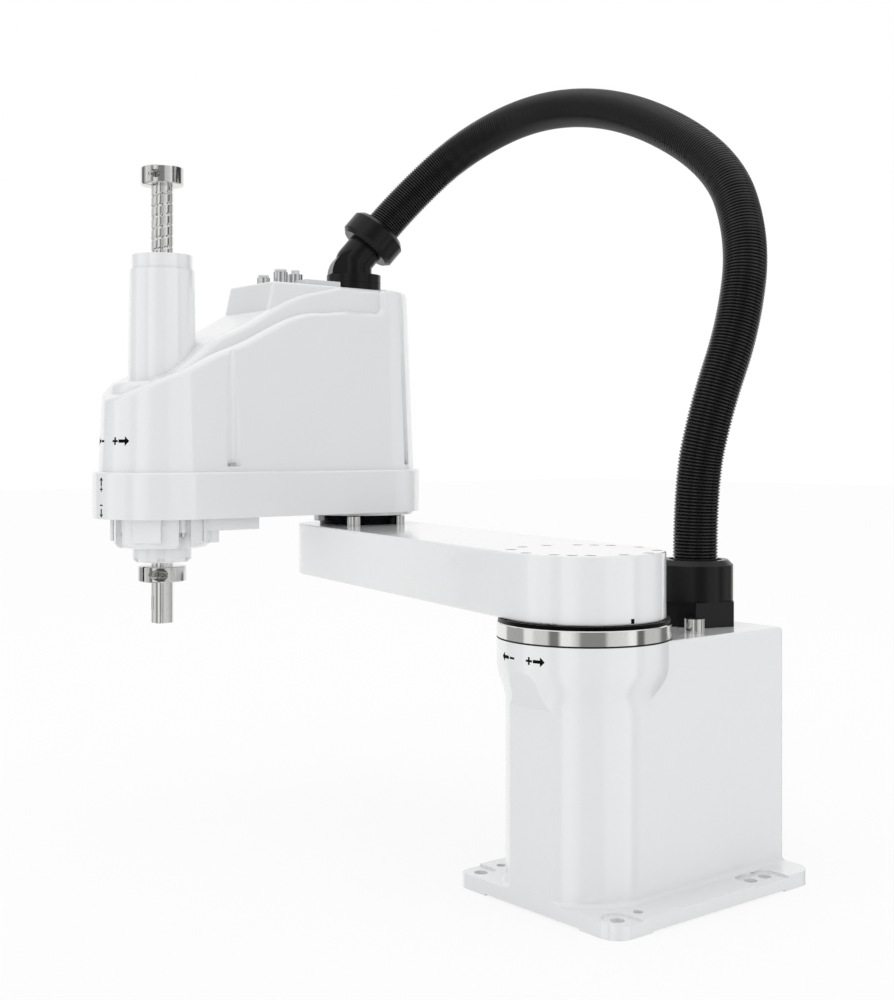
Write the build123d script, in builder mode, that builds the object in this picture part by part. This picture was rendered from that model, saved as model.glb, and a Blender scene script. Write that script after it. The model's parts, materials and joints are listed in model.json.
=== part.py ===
from build123d import *
from math import cos, pi, radians, sin, tan
import os

os.makedirs("parts", exist_ok=True)

# Four-axis arm robot in millimetres. The origin is on the base's underside, on the first axis.
# X points to the front of the base, Z points up. The arm is drawn in the pose of the photograph.

# Reach and pose
inner_arm_length = 525.0
outer_arm_length = 275.0
inner_arm_heading = -102.5
outer_arm_heading = -0.5

# Clearances
running_clearance = 0.05
seat_clearance = 0.1
gap_clearance = 0.3
belt_clearance = 0.4

# Base casting
foot_front = 67.5
foot_rear = 204.0
foot_width = 215.0
foot_thickness = 14.0
foot_corner_radius = 19.0
foot_relief_depth = 1.5
foot_relief_inset = 12.0
foot_pad_length = 45.0
foot_hole_x_spacing = 200.0
foot_hole_y_spacing = 180.0
foot_hole_front = 49.0
foot_hole_radius = 6.5
foot_rear_jack_x = -130.0
foot_front_dowel_x = 23.0
foot_dowel_radius = 4.5
foot_pocket_radius = 14.0
foot_pocket_depth = 2.0
base_top = 243.0
column_radius = 73.0
column_wall = 14.0
flare_radius = 81.2
flare_start = 184.0
flare_end = 221.0
foot_fillet = 5.0
box_edge_fillet = 4.0
box_corner_fillet = 6.0
base_wall = 9.0
base_floor = 20.0
box_cavity_front = 76.0
cable_passage_width = 60.0
cable_passage_bottom = 40.0
cable_passage_top = 190.0

# Rear panel and its connectors
panel_thickness = 3.0
panel_width = 130.0
panel_bottom = 26.0
panel_top = 232.0
panel_corner = 3.0
panel_lip = 10.0
panel_screw_inset = 5.0
panel_screw_radius = 2.0
panel_screw_head_radius = 3.6
panel_screw_head_height = 2.4
panel_screw_length = 8.0
connector_pin_wall = 3.0
connector_pin_core = 6.0
power_connector_radius = 15.0
power_connector_z = 66.0
signal_connector_width = 56.0
signal_connector_height = 26.0
signal_connector_z = 118.0
air_port_radius = 7.0
air_port_spacing = 30.0
air_port_z = 165.0
connector_reach = 14.0
connector_flange = 4.0

# First axis: motor, reducer and black output flange
ring_height = 15.0
ring_chamfer = 0.8
reducer_bore_radius = 56.0
reducer_spigot_radius = 62.0
reducer_floor = 215.0
reducer_floor_thickness = 8.0
large_motor_width = 78.0
large_motor_length = 96.0
large_motor_flange = 9.0
encoder_width = 58.0
encoder_length = 26.0
motor_corner = 8.0
motor_corner_step = 1.5
motor_shaft_radius = 8.0
motor_shaft_length = 14.0
output_disc_radius = 80.0
output_spigot_radius = 72.0
output_spigot_height = 12.0
output_hub_depth = 30.0
output_bore_radius = 14.0

# Duct glands on the base
gland_x = -156.0
gland_hex_width = 74.0
gland_hex_height = 24.5
gland_hex_turn = 42.2
gland_nut_radius = 37.3
gland_nut_height = 40.0
gland_nut_chamfer = 5.0
gland_shank_radius = 26.0
gland_shank_length = 18.0
duct_diameter = 44.4
duct_bore_clearance = 0.8
duct_insertion = 4.0
gland_bore_radius = 18.0

# Stop posts of the first axis
stop_post_radius = 9.5
stop_post_height = 13.6
stop_post_circle = 111.0
stop_post_angle = 154.8
stop_post_socket = 4.0
stop_lug_angle = 17.0
stop_lug_width = 11.0
stop_lug_height = 8.6

# Inner arm
inner_arm_gap = 3.6
inner_arm_thickness = 62.0
inner_arm_radius = 76.0
inner_arm_edge = 2.0
arm_pocket_depth = 50.0
arm_pocket_wall = 10.0
arm_pocket_start = 96.0
arm_pocket_end = 440.0
arm_rib_thickness = 7.0
arm_rib_count = 3
arm_rib_rise = 6.0
flange_screw_circle = 67.5
flange_screw_angles = (0.0, 28.0, 59.0, 97.0, 125.0, 139.0, 153.0)
flange_screw_radius = 3.0
flange_screw_head_radius = 5.0
flange_screw_head_height = 6.0
flange_screw_recess = 8.0
screw_clearance = 0.4
socket_share = 0.5

# Second axis
second_axis_gap = 16.0
second_reducer_radius = 50.0
second_reducer_spigot = 44.0
second_reducer_depth = 34.0
second_reducer_flange = 7.0
second_reducer_bore = 36.0
second_output_radius = 52.0
second_output_boss_radius = 66.0
second_output_boss_height = 4.0
second_stop_circle = 61.0
second_stop_angle = 30.0
second_stop_radii = (8.5, 6.3)
second_stop_height = 11.0
second_stop_lug_width = 9.0
flange_bolt_count = 8
flange_bolt_circle = 43.5
flange_bolt_turn = 22.5
flange_bolt_radius = 3.0
second_motor_width = 60.0

# Outer arm tray
tray_height = 51.8
tray_tip_radius = 77.3
tray_root_radius = 74.5
tray_wall = 11.0
tray_floor = 10.0
tray_edge = 3.0
nut_bore_radius = 38.0
motor_pilot_radius = 20.0

# Nut housing under the tip of the outer arm
housing_radius = 54.0
housing_depth = 33.8
housing_fillet = 7.0
housing_pad_count = 4
housing_pad_turn = 45.0
housing_pad_width = 31.0
housing_pad_proud = 1.6
housing_pocket_circle = 51.0
housing_pocket_radius = 8.0
wing_reach = 100.0
wing_half_width = 46.0
wing_depth = 15.2
step_reach = 52.0
step_half_width = 38.0
step_depth = 29.0
seal_cap_radius = 33.0
seal_cap_height = 16.5
seal_cap_bore = 14.0
seal_cap_chamfer = 3.0
seal_cap_floor = 2.0
seal_cap_room = 1.0
seal_cap_notches = 6
seal_cap_notch_width = 8.0
seal_cap_notch_reach = 4.0
seal_cap_notch_depth = 5.0
housing_screw_circle = 45.5
housing_screw_turn = 0.0
housing_screw_count = 4
housing_screw_head_radius = 4.5
housing_screw_head_height = 5.0
housing_screw_recess = 18.2

# Moulded upper cover
cover_tip_radius = 70.5
cover_root_radius = 67.6
cover_draft = 2.4
cover_wall = 3.0
cover_inner_inset = 8.0
cover_shoulder = (
    (350, 466), (335, 477), (317, 488), (281, 505), (238, 526), (212, 536), (155, 564), (94, 578)
)
cover_shoulder_height = 582.0
cover_tail_start = 6.0
cover_ramp = ((300, 492), (285, 504), (262, 522), (240, 540), (205, 556), (167, 577), (116, 600))
cover_ramp_end = 66.0
cover_top = 612.0
crest_front = 158.0
crest_foot = 170.0
crest_rear = 62.0
crest_half_width = 49.0
channel_radius = 9.5
channel_along = 222.0
channel_foot = 6.0
cover_shoulder_run = 60.0
cover_tail_run = 3.0
cover_fillet = 7.0
crest_fillet = 3.0
tail_channel_angle = 113.5
tail_channel_radius = 5.0
channel_across = 73.0
tail_channel_circle = 61.5
cover_screw_head_radius = 3.2
cover_screw_head_height = 4.0
cover_screw_radius = 2.0
cover_screw_length = 16.0
cover_screw_across = 67.2
cover_screw_circle = 62.0
cover_boss_radius = 5.5
crest_bottom = 560.0

# Tower over the shaft
tower_base_radius = 38.4
tower_top_radius = 36.4
tower_base_z = 470.0
tower_top = 619.5
tower_cap_radius = 34.2
tower_cap_height = 16.5
tower_cap_bore = 27.0

# Drive inside the outer arm
motor_plate_z = 428.0
motor_plate_thickness = 9.0
motor_plate_half_width = 54.0
motor_plate_edge = 2.0
motor_plate_nose_radius = 36.0
motor_plate_pilot = 19.0
standoff_radius = 6.0
standoff_across = 46.0
standoff_inset = 10.0
standoff_nose = 49.0
lift_motor_centres = 87.0
motor_pitch = 66.0
small_motor_width = 58.0
lift_motor_length = 62.0
turn_motor_length = 70.0
small_encoder_length = 20.0
small_encoder_width = 44.0
brake_length = 24.0
small_shaft_radius = 6.0
small_motor_flange = 8.0
shaft_below_pulley = 3.0
belt_width = 14.0
belt_thickness = 2.0
pulley_flange = 1.5
turn_belt_z = 360.0
lift_belt_z = 400.0
turn_motor_teeth = 20
turn_nut_teeth = 48
lift_motor_teeth = 24
lift_nut_teeth = 44
tooth_pitch = 4.0
tooth_depth = 1.2

# Splined screw shaft and its nuts
shaft_radius = 12.5
shaft_bottom = 219.9
shaft_top = 736.0
shaft_bore_radius = 6.0
spline_count = 6
spline_radius = 1.6
spline_turn = 2.0
shaft_flat_depth = 0.35
shaft_flat_bottom = 235.0
shaft_flat_top = 251.0
shaft_relief_width = 2.0
shaft_relief_depth = 0.5
upper_collar_radius = 24.0
upper_collar_height = 20.0
upper_collar_turn = 0.0
upper_screw_head_radius = 4.25
upper_screw_head_height = 5.0
upper_screw_radius = 2.5
upper_screw_seat = 4.5
lower_collar_radius = 27.0
lower_collar_height = 17.5
lower_collar_bottom = 267.0
lower_collar_turn = 13.0
lower_screw_head_radius = 6.5
lower_screw_head_height = 7.0
lower_screw_radius = 4.0
lower_screw_seat = 1.0
collar_slot = 2.5
collar_chamfer = 1.0
collar_screw_web = 2.6
collar_screw_end = 12.5
spline_nut_radius = 20.0
spline_nut_bottom = 291.5
spline_nut_top = 378.0
ball_nut_radius = 20.0
ball_nut_bottom = 384.0
ball_nut_top = 446.0
nut_hole_room = 2.0
lower_bearing_width = 14.0
lower_bearing_z = 312.0
lower_bearing_radius = 31.0
upper_bearing_radius = 28.0

# Elbow fitting of the duct on the cover
elbow_along = 9.5
elbow_heading = 155.0
elbow_tilt = 50.2
elbow_flange_radius = 33.7
elbow_flange_height = 10.7
elbow_disc_height = 10.0
elbow_neck_radius = 22.5
elbow_corner_z = 650.5
elbow_bore_radius = 17.0
elbow_pipe_end = 50.0
ring_nut_radius = 37.0
ring_nut_start = 22.5
ring_nut_end = 54.0
ring_nut_chamfer = 5.0
hood_radius = 30.0
hood_width = 38.0
hood_centre_z = 634.0
cable_hole_radius = 19.0

# Duct between elbow and gland, as points chosen by hand
duct_points = (
    (-133.144, -499.109, 688.922),
    (-162.145, -485.586, 727.328),
    (-216.0, -429.0, 798.0),
    (-245.0, -318.0, 830.0),
    (-235.0, -164.0, 799.0),
    (-226.0, -23.0, 718.0),
    (-211.0, 23.0, 629.0),
    (-191.0, 26.0, 540.0),
    (-165.0, 13.0, 458.0),
    (-156.0, 0.0, 381.0),
    (-156.0, 0.0, 303.5),
)
duct_arc_share = 0.45
duct_wall = 2.4

# Small fittings on top of the cover
air_fitting_places = ((141.0, 0.0), (117.0, 0.0))
air_fitting_radii = (7.8, 8.8)
air_fitting_heights = (8.6, 17.3)
fitting_collar_height = 3.4
fitting_collar_rim = 2.0
fitting_collar_wall = 1.6
fitting_collar_depth = 5.0
fitting_body_wall = 2.2
fitting_tube_radius = 4.0
fitting_shank_radius = 5.6
fitting_shank_length = 10.0
brake_button_along = 96.0
brake_guard_radius = 8.8
brake_guard_height = 16.0
brake_guard_shank = 10.0
brake_button_radius = 5.0
brake_button_proud = 5.0
brake_button_length = 16.0
plate_along = 84.0
plate_across = 31.0
plate_length = 50.0
plate_width = 26.0
plate_thickness = 6.0

# Places worked out from the values above
panel_middle = (panel_bottom + panel_top) / 2
panel_height = panel_top - panel_bottom
panel_screw_y = panel_width / 2 - panel_screw_inset
panel_screw_z = panel_height / 2 - panel_screw_inset
panel_screw_places = [
    (side * panel_screw_y, panel_middle + level * panel_screw_z) for side in (-1, 1) for level in (-1, 0, 1)
]
foot_bolt_xs = (foot_hole_front, foot_hole_front - foot_hole_x_spacing)
ring_top = base_top + ring_height
inner_arm_bottom = ring_top + inner_arm_gap
inner_arm_top = inner_arm_bottom + inner_arm_thickness
tray_bottom = inner_arm_top + second_axis_gap
tray_top = tray_bottom + tray_height
tray_floor_top = tray_bottom + tray_floor
lift_motor_along = outer_arm_length - lift_motor_centres
turn_motor_along = lift_motor_along - motor_pitch
motor_plate_start = turn_motor_along - small_motor_width / 2 - motor_plate_edge
standoff_alongs = (motor_plate_start + standoff_inset, outer_arm_length - standoff_nose)
standoff_places = [(along, side * standoff_across) for along in standoff_alongs for side in (-1, 1)]
cover_screw_places = [(channel_along, side * cover_screw_across) for side in (-1, 1)]
cover_screw_places += [
    (
        cover_screw_circle * cos(radians(tail_channel_angle)),
        side * cover_screw_circle * sin(radians(tail_channel_angle)),
    )
    for side in (-1, 1)
]
housing_bottom = tray_bottom - housing_depth
elbow_seam = cover_top + elbow_flange_height
motor_plate_top = motor_plate_z + motor_plate_thickness


def inner_plane(height, along=0.0):
    """Horizontal plane on the inner arm, with X along the arm."""
    heading = Vector(cos(radians(inner_arm_heading)), sin(radians(inner_arm_heading)), 0)
    return Plane(origin=heading * along + Vector(0, 0, height), x_dir=heading, z_dir=(0, 0, 1))


outer_heading = Vector(cos(radians(outer_arm_heading)), sin(radians(outer_arm_heading)), 0)
outer_right = Vector(sin(radians(outer_arm_heading)), -cos(radians(outer_arm_heading)), 0)


def outer_plane(height, along=0.0, across=0.0):
    """Horizontal plane on the outer arm, with X along the arm from the second axis."""
    foot = inner_plane(height, inner_arm_length).origin
    place = foot + outer_heading * along - outer_right * across
    return Plane(origin=place, x_dir=outer_heading, z_dir=(0, 0, 1))


def arm_outline(root_radius, tip_radius, length):
    """Two circles and their common tangents, in the sketch that is open."""
    Circle(root_radius)
    with Locations((length, 0)):
        Circle(tip_radius)
    make_hull()


def circle_plane(centre_plane, radius, angle):
    """The same plane moved to a point on a circle round its own origin."""
    step = Location((radius * cos(radians(angle)), radius * sin(radians(angle)), 0))
    return Plane(centre_plane.location * step)


def screw_group(planes, head_radius, head_height, shank_radius, shank_length):
    """Socket head screws, one on each plane, with the head standing on it."""
    with BuildPart() as screws:
        for plane in planes:
            with BuildSketch(plane):
                Circle(head_radius)
            extrude(amount=head_height)
            with BuildSketch(plane):
                Circle(shank_radius)
            extrude(amount=-shank_length)
            with BuildSketch(plane.offset(head_height)):
                RegularPolygon(head_radius * socket_share, 6)
            extrude(amount=-head_height * socket_share, mode=Mode.SUBTRACT)
    return screws


def servo_motor(plane, width, length, flange_height, shaft_radius, shaft_length=0.0):
    """Square motor body that stands on a plane, with its shaft, or a bore for one, at the foot."""
    with BuildPart() as motor:
        with BuildSketch(plane):
            RectangleRounded(width + 2 * motor_corner_step, width + 2 * motor_corner_step, motor_corner_step)
        extrude(amount=flange_height)
        with BuildSketch(plane.offset(flange_height)):
            RectangleRounded(width, width, motor_corner)
        extrude(amount=length - flange_height)
        with BuildSketch(plane):
            Circle(shaft_radius)
        if shaft_length > 0:
            extrude(amount=-shaft_length)
        else:
            extrude(amount=length - flange_height, mode=Mode.SUBTRACT)
    return motor


def toothed_pulley(plane, teeth, bore_radius):
    """Timing belt pulley with flanges, resting on a plane."""
    radius = teeth * tooth_pitch / (2 * pi)
    with BuildPart() as pulley:
        with BuildSketch(plane):
            Circle(radius)
            with PolarLocations(radius, teeth):
                Rectangle(2 * tooth_depth, tooth_pitch / 2, mode=Mode.SUBTRACT)
        extrude(amount=belt_width)
        for flange_plane in (plane.offset(-pulley_flange), plane.offset(belt_width)):
            with BuildSketch(flange_plane):
                Circle(radius + belt_thickness + 1)
            extrude(amount=pulley_flange)
        with BuildSketch(plane.offset(-pulley_flange)):
            Circle(bore_radius)
        extrude(amount=belt_width + 2 * pulley_flange, mode=Mode.SUBTRACT)
    return pulley


def belt_loop(plane, near_teeth, far_teeth, length):
    """Flat loop of belt round two pulleys."""
    near_radius = near_teeth * tooth_pitch / (2 * pi) + belt_clearance
    far_radius = far_teeth * tooth_pitch / (2 * pi) + belt_clearance
    with BuildPart() as belt:
        with BuildSketch(plane.offset(gap_clearance)):
            arm_outline(near_radius + belt_thickness, far_radius + belt_thickness, length)
        extrude(amount=belt_width - 2 * gap_clearance)
        with BuildSketch(plane):
            arm_outline(near_radius, far_radius, length)
        extrude(amount=belt_width, mode=Mode.SUBTRACT)
    return belt


# Base casting: foot plate, column, box and cavities
with BuildPart() as base_casting:
    with BuildSketch(Plane.XY.offset(foot_thickness)):
        Circle(column_radius)
        with Locations((-foot_rear / 2, 0)):
            Rectangle(foot_rear, 2 * column_radius)
    extrude(amount=base_top - foot_thickness)
    fillet(base_casting.edges().filter_by(Axis.Z).group_by(Axis.X)[0], box_corner_fillet)
    with BuildSketch(Plane.XZ):
        with BuildLine():
            Spline((column_radius, flare_start), (flare_radius, flare_end), tangents=((0, 1), (0, 1)))
            Polyline((flare_radius, flare_end), (flare_radius, base_top), (0, base_top))
            Polyline((0, base_top), (0, flare_start), (column_radius, flare_start))
        make_face()
    revolve(axis=Axis.Z)
    with BuildSketch():
        with Locations(((foot_front - foot_rear) / 2, 0)):
            Rectangle(foot_front + foot_rear + foot_width, foot_width)
    extrude(amount=foot_thickness)
    foot_joint = base_casting.edges().filter_by_position(Axis.Z, foot_thickness - 0.1, foot_thickness + 0.1)
    foot_joint = foot_joint.filter_by_position(Axis.Y, -column_radius - 1, column_radius + 1)
    fillet(foot_joint.filter_by_position(Axis.X, -foot_rear - 1, column_radius + 1), foot_fillet)
    with BuildSketch():
        with Locations(((foot_front - foot_rear) / 2, 0)):
            Rectangle(2 * (foot_front + foot_rear), 2 * foot_width)
            RectangleRounded(foot_front + foot_rear, foot_width, foot_corner_radius, mode=Mode.SUBTRACT)
    extrude(amount=foot_thickness + foot_fillet, mode=Mode.SUBTRACT)
    with BuildSketch(Plane.XZ):
        with BuildLine():
            Polyline(
                (foot_front, 0),
                (foot_front, flare_start),
                (flare_radius + 1, flare_end),
                (2 * foot_front, flare_end),
                (2 * foot_front, 0),
                close=True,
            )
        make_face()
    extrude(amount=foot_width / 2, both=True, mode=Mode.SUBTRACT)
    top_rim = base_casting.edges().filter_by_position(Axis.Z, base_top - 0.1, base_top + 0.1)
    fillet(top_rim.filter_by_position(Axis.X, -foot_rear - 1, -column_radius), box_edge_fillet)
    with BuildSketch(Plane.XY.offset(base_floor)):
        Circle(column_radius - column_wall)
    extrude(amount=base_top - base_floor, mode=Mode.SUBTRACT)
    with BuildSketch(Plane.XY.offset(reducer_floor)):
        Circle(reducer_spigot_radius + seat_clearance)
    extrude(amount=base_top - reducer_floor, mode=Mode.SUBTRACT)
    with BuildSketch(Plane.XY.offset(base_floor)):
        with Locations((-(foot_rear - base_wall + box_cavity_front) / 2, 0)):
            Rectangle(foot_rear - base_wall - box_cavity_front, 2 * (column_radius - base_wall))
    extrude(amount=base_top - base_floor - base_wall, mode=Mode.SUBTRACT)
    with BuildSketch(Plane.YZ.offset(-foot_rear)):
        with Locations((0, panel_middle)):
            Rectangle(panel_width - 2 * panel_lip, panel_height - 2 * panel_lip)
    extrude(amount=base_wall, mode=Mode.SUBTRACT)
    with BuildSketch(Plane.YZ.offset(-foot_rear)):
        with Locations(*panel_screw_places):
            Circle(panel_screw_radius + seat_clearance)
    extrude(amount=base_wall, mode=Mode.SUBTRACT)
    with BuildSketch(Plane.XY.offset(cable_passage_bottom)):
        with Locations((-box_cavity_front, 0)):
            Rectangle(box_cavity_front, cable_passage_width)
    extrude(amount=cable_passage_top - cable_passage_bottom, mode=Mode.SUBTRACT)
    with BuildSketch(Plane.YZ.offset(-foot_rear)):
        with Locations((0, panel_middle)):
            Rectangle(panel_width + 2 * seat_clearance, panel_height + 2 * seat_clearance)
    extrude(amount=panel_thickness, mode=Mode.SUBTRACT)
    with BuildSketch(Plane.XY.offset(base_top)):
        with Locations((gland_x, 0)):
            Circle(gland_shank_radius + seat_clearance)
    extrude(amount=-gland_shank_length, mode=Mode.SUBTRACT)
    pocket_span = foot_width - foot_hole_y_spacing
    for hole_x in (*foot_bolt_xs, foot_rear_jack_x):
        with BuildSketch(Plane.XY.offset(foot_thickness)):
            with Locations((hole_x, 0)):
                with GridLocations(0, foot_hole_y_spacing, 1, 2):
                    Circle(foot_pocket_radius)
                with GridLocations(0, foot_hole_y_spacing + pocket_span, 1, 2):
                    Rectangle(2 * foot_pocket_radius, pocket_span)
        extrude(amount=-foot_pocket_depth, mode=Mode.SUBTRACT)
        with Locations((hole_x, 0, foot_thickness)):
            with GridLocations(0, foot_hole_y_spacing, 1, 2):
                Hole(foot_hole_radius, foot_thickness)
    with Locations((foot_front_dowel_x, 0, foot_thickness)):
        with GridLocations(0, foot_hole_y_spacing, 1, 2):
            Hole(foot_dowel_radius, foot_thickness)
    with BuildSketch():
        with Locations((foot_front, 0), (-foot_rear, 0)):
            Rectangle(2 * foot_relief_inset, foot_width - 2 * foot_pad_length)
        foot_middle = (foot_front - foot_rear) / 2
        with Locations((foot_middle, foot_width / 2), (foot_middle, -foot_width / 2)):
            Rectangle(foot_front + foot_rear - 2 * foot_pad_length, 2 * foot_relief_inset)
    extrude(amount=foot_relief_depth, mode=Mode.SUBTRACT)
base_casting.part.label = "base_casting"
export_step(base_casting.part, "parts/base_casting.step")

# Rear panel in its recess, with holes for the connectors
air_port_places = ((-air_port_spacing / 2, air_port_z), (air_port_spacing / 2, air_port_z))
with BuildPart() as rear_panel:
    with BuildSketch(Plane.YZ.offset(-foot_rear)):
        with Locations((0, panel_middle)):
            RectangleRounded(panel_width, panel_height, panel_corner)
        with Locations((0, power_connector_z)):
            Circle(power_connector_radius + seat_clearance, mode=Mode.SUBTRACT)
        with Locations((0, signal_connector_z)):
            Rectangle(
                signal_connector_width + 2 * seat_clearance,
                signal_connector_height + 2 * seat_clearance,
                mode=Mode.SUBTRACT,
            )
        with Locations(*air_port_places):
            Circle(air_port_radius + seat_clearance, mode=Mode.SUBTRACT)
        with Locations(*panel_screw_places):
            Circle(panel_screw_radius + seat_clearance, mode=Mode.SUBTRACT)
    extrude(amount=panel_thickness)
rear_panel.part.label = "rear_panel"
export_step(rear_panel.part, "parts/rear_panel.step")

panel_screw_planes = [
    Plane(origin=(-foot_rear, across, height), z_dir=(-1, 0, 0)) for across, height in panel_screw_places
]
rear_panel_screws = screw_group(
    panel_screw_planes,
    panel_screw_head_radius,
    panel_screw_head_height,
    panel_screw_radius,
    panel_screw_length,
)
rear_panel_screws.part.label = "rear_panel_screws"
export_step(rear_panel_screws.part, "parts/rear_panel_screws.step")

# Power connector: round socket with a square flange
with BuildPart() as power_connector:
    with BuildSketch(Plane.YZ.offset(-foot_rear)):
        with Locations((0, power_connector_z)):
            RectangleRounded(2.4 * power_connector_radius, 2.4 * power_connector_radius, connector_flange)
    extrude(amount=-connector_flange)
    with BuildSketch(Plane.YZ.offset(-foot_rear - connector_reach)):
        with Locations((0, power_connector_z)):
            Circle(power_connector_radius)
    extrude(amount=2 * connector_reach)
    with BuildSketch(Plane.YZ.offset(-foot_rear - connector_reach)):
        with Locations((0, power_connector_z)):
            Circle(power_connector_radius - connector_pin_wall)
            Circle(connector_pin_core, mode=Mode.SUBTRACT)
    extrude(amount=connector_reach, mode=Mode.SUBTRACT)
power_connector.part.label = "power_connector"
export_step(power_connector.part, "parts/power_connector.step")

# Signal connector: oblong socket
with BuildPart() as signal_connector:
    with BuildSketch(Plane.YZ.offset(-foot_rear)):
        with Locations((0, signal_connector_z)):
            RectangleRounded(
                signal_connector_width + 4 * connector_flange,
                signal_connector_height + 2 * connector_flange,
                connector_flange,
            )
    extrude(amount=-connector_flange)
    with BuildSketch(Plane.YZ.offset(-foot_rear - connector_reach)):
        with Locations((0, signal_connector_z)):
            Rectangle(signal_connector_width, signal_connector_height)
    extrude(amount=2 * connector_reach)
    with BuildSketch(Plane.YZ.offset(-foot_rear - connector_reach)):
        with Locations((0, signal_connector_z)):
            Rectangle(
                signal_connector_width - 2 * connector_pin_wall,
                signal_connector_height - 2 * connector_pin_wall,
            )
            Rectangle(
                signal_connector_width - 4 * connector_pin_wall,
                signal_connector_height - 5 * connector_pin_wall,
                mode=Mode.SUBTRACT,
            )
    extrude(amount=connector_reach, mode=Mode.SUBTRACT)
signal_connector.part.label = "signal_connector"
export_step(signal_connector.part, "parts/signal_connector.step")

# Air ports: two bulkhead unions with a hexagon outside the panel
with BuildPart() as air_ports:
    with BuildSketch(Plane.YZ.offset(-foot_rear)):
        with Locations(*air_port_places):
            RegularPolygon(1.5 * air_port_radius, 6)
    extrude(amount=-connector_flange)
    with BuildSketch(Plane.YZ.offset(-foot_rear - connector_reach)):
        with Locations(*air_port_places):
            Circle(air_port_radius)
    extrude(amount=2 * connector_reach)
    with BuildSketch(Plane.YZ.offset(-foot_rear - connector_reach)):
        with Locations(*air_port_places):
            Circle(fitting_tube_radius)
    extrude(amount=2 * connector_reach, mode=Mode.SUBTRACT)
air_ports.part.label = "air_ports"
export_step(air_ports.part, "parts/air_ports.step")

# First axis motor, hung under the reducer
first_motor_plane = Plane(origin=(0, 0, reducer_floor), z_dir=(0, 0, -1))
first_motor = servo_motor(
    first_motor_plane,
    large_motor_width,
    large_motor_length,
    large_motor_flange,
    motor_shaft_radius,
    motor_shaft_length,
)
first_motor.part.label = "first_axis_motor"
export_step(first_motor.part, "parts/first_axis_motor.step")

with BuildPart() as first_encoder:
    with BuildSketch(Plane.XY.offset(reducer_floor - large_motor_length)):
        RectangleRounded(encoder_width, encoder_width, motor_corner)
    extrude(amount=-encoder_length)
first_encoder.part.label = "first_axis_encoder"
export_step(first_encoder.part, "parts/first_axis_encoder.step")

# Reducer of the first axis: a cup in the column with the bright ring on top
with BuildPart() as first_reducer:
    with BuildSketch(Plane.XZ):
        with BuildLine():
            Polyline(
                (motor_shaft_radius + seat_clearance, reducer_floor),
                (reducer_spigot_radius, reducer_floor),
                (reducer_spigot_radius, base_top),
                (flare_radius, base_top),
                (flare_radius, ring_top),
                (reducer_bore_radius, ring_top),
                (reducer_bore_radius, reducer_floor + reducer_floor_thickness),
                (motor_shaft_radius + seat_clearance, reducer_floor + reducer_floor_thickness),
                close=True,
            )
        make_face()
    revolve(axis=Axis.Z)
    ring_edges = first_reducer.edges().filter_by(GeomType.CIRCLE).group_by(SortBy.RADIUS)[-1]
    chamfer(ring_edges, ring_chamfer)
first_reducer.part.label = "first_axis_reducer"
export_step(first_reducer.part, "parts/first_axis_reducer.step")

# Duct gland: hexagon body with a threaded shank, and a round nut with a chamfered top
gland_plane = Plane(origin=(gland_x, 0, base_top))
with BuildPart() as duct_gland_body:
    with BuildSketch(gland_plane):
        RegularPolygon(gland_hex_width / 2, 6, major_radius=False, rotation=gland_hex_turn)
    extrude(amount=gland_hex_height)
    with BuildSketch(gland_plane):
        Circle(gland_shank_radius)
    extrude(amount=-gland_shank_length)
    with BuildSketch(gland_plane.offset(gland_hex_height)):
        Circle(gland_shank_radius - seat_clearance)
    extrude(amount=gland_nut_height - duct_insertion)
    with BuildSketch(gland_plane.offset(-gland_shank_length)):
        Circle(gland_bore_radius)
    extrude(amount=gland_shank_length + gland_hex_height + gland_nut_height, mode=Mode.SUBTRACT)
duct_gland_body.part.label = "duct_gland_body"
export_step(duct_gland_body.part, "parts/duct_gland_body.step")

with BuildPart() as duct_gland_nut:
    with BuildSketch(gland_plane.offset(gland_hex_height)):
        Circle(gland_nut_radius)
        Circle(gland_shank_radius, mode=Mode.SUBTRACT)
    extrude(amount=gland_nut_height)
    outer_rim = duct_gland_nut.edges().group_by(Axis.Z)[-1].group_by(SortBy.RADIUS)[-1]
    chamfer(outer_rim, gland_nut_chamfer)
duct_gland_nut.part.label = "duct_gland_nut"
export_step(duct_gland_nut.part, "parts/duct_gland_nut.step")

# Stop posts of the first axis, with a socket in the top
with BuildPart() as first_axis_stops:
    with BuildSketch(Plane.XY.offset(base_top)):
        for side in (-1, 1):
            with PolarLocations(stop_post_circle, 1, start_angle=side * stop_post_angle):
                Circle(stop_post_radius)
                RegularPolygon(stop_post_radius * socket_share, 6, mode=Mode.SUBTRACT)
    extrude(amount=stop_post_height)
    with BuildSketch(Plane.XY.offset(base_top)):
        for side in (-1, 1):
            with PolarLocations(stop_post_circle, 1, start_angle=side * stop_post_angle):
                Circle(stop_post_radius - ring_chamfer)
    extrude(amount=stop_post_height - stop_post_socket)
first_axis_stops.part.label = "first_axis_stop_posts"
export_step(first_axis_stops.part, "parts/first_axis_stop_posts.step")

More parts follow.
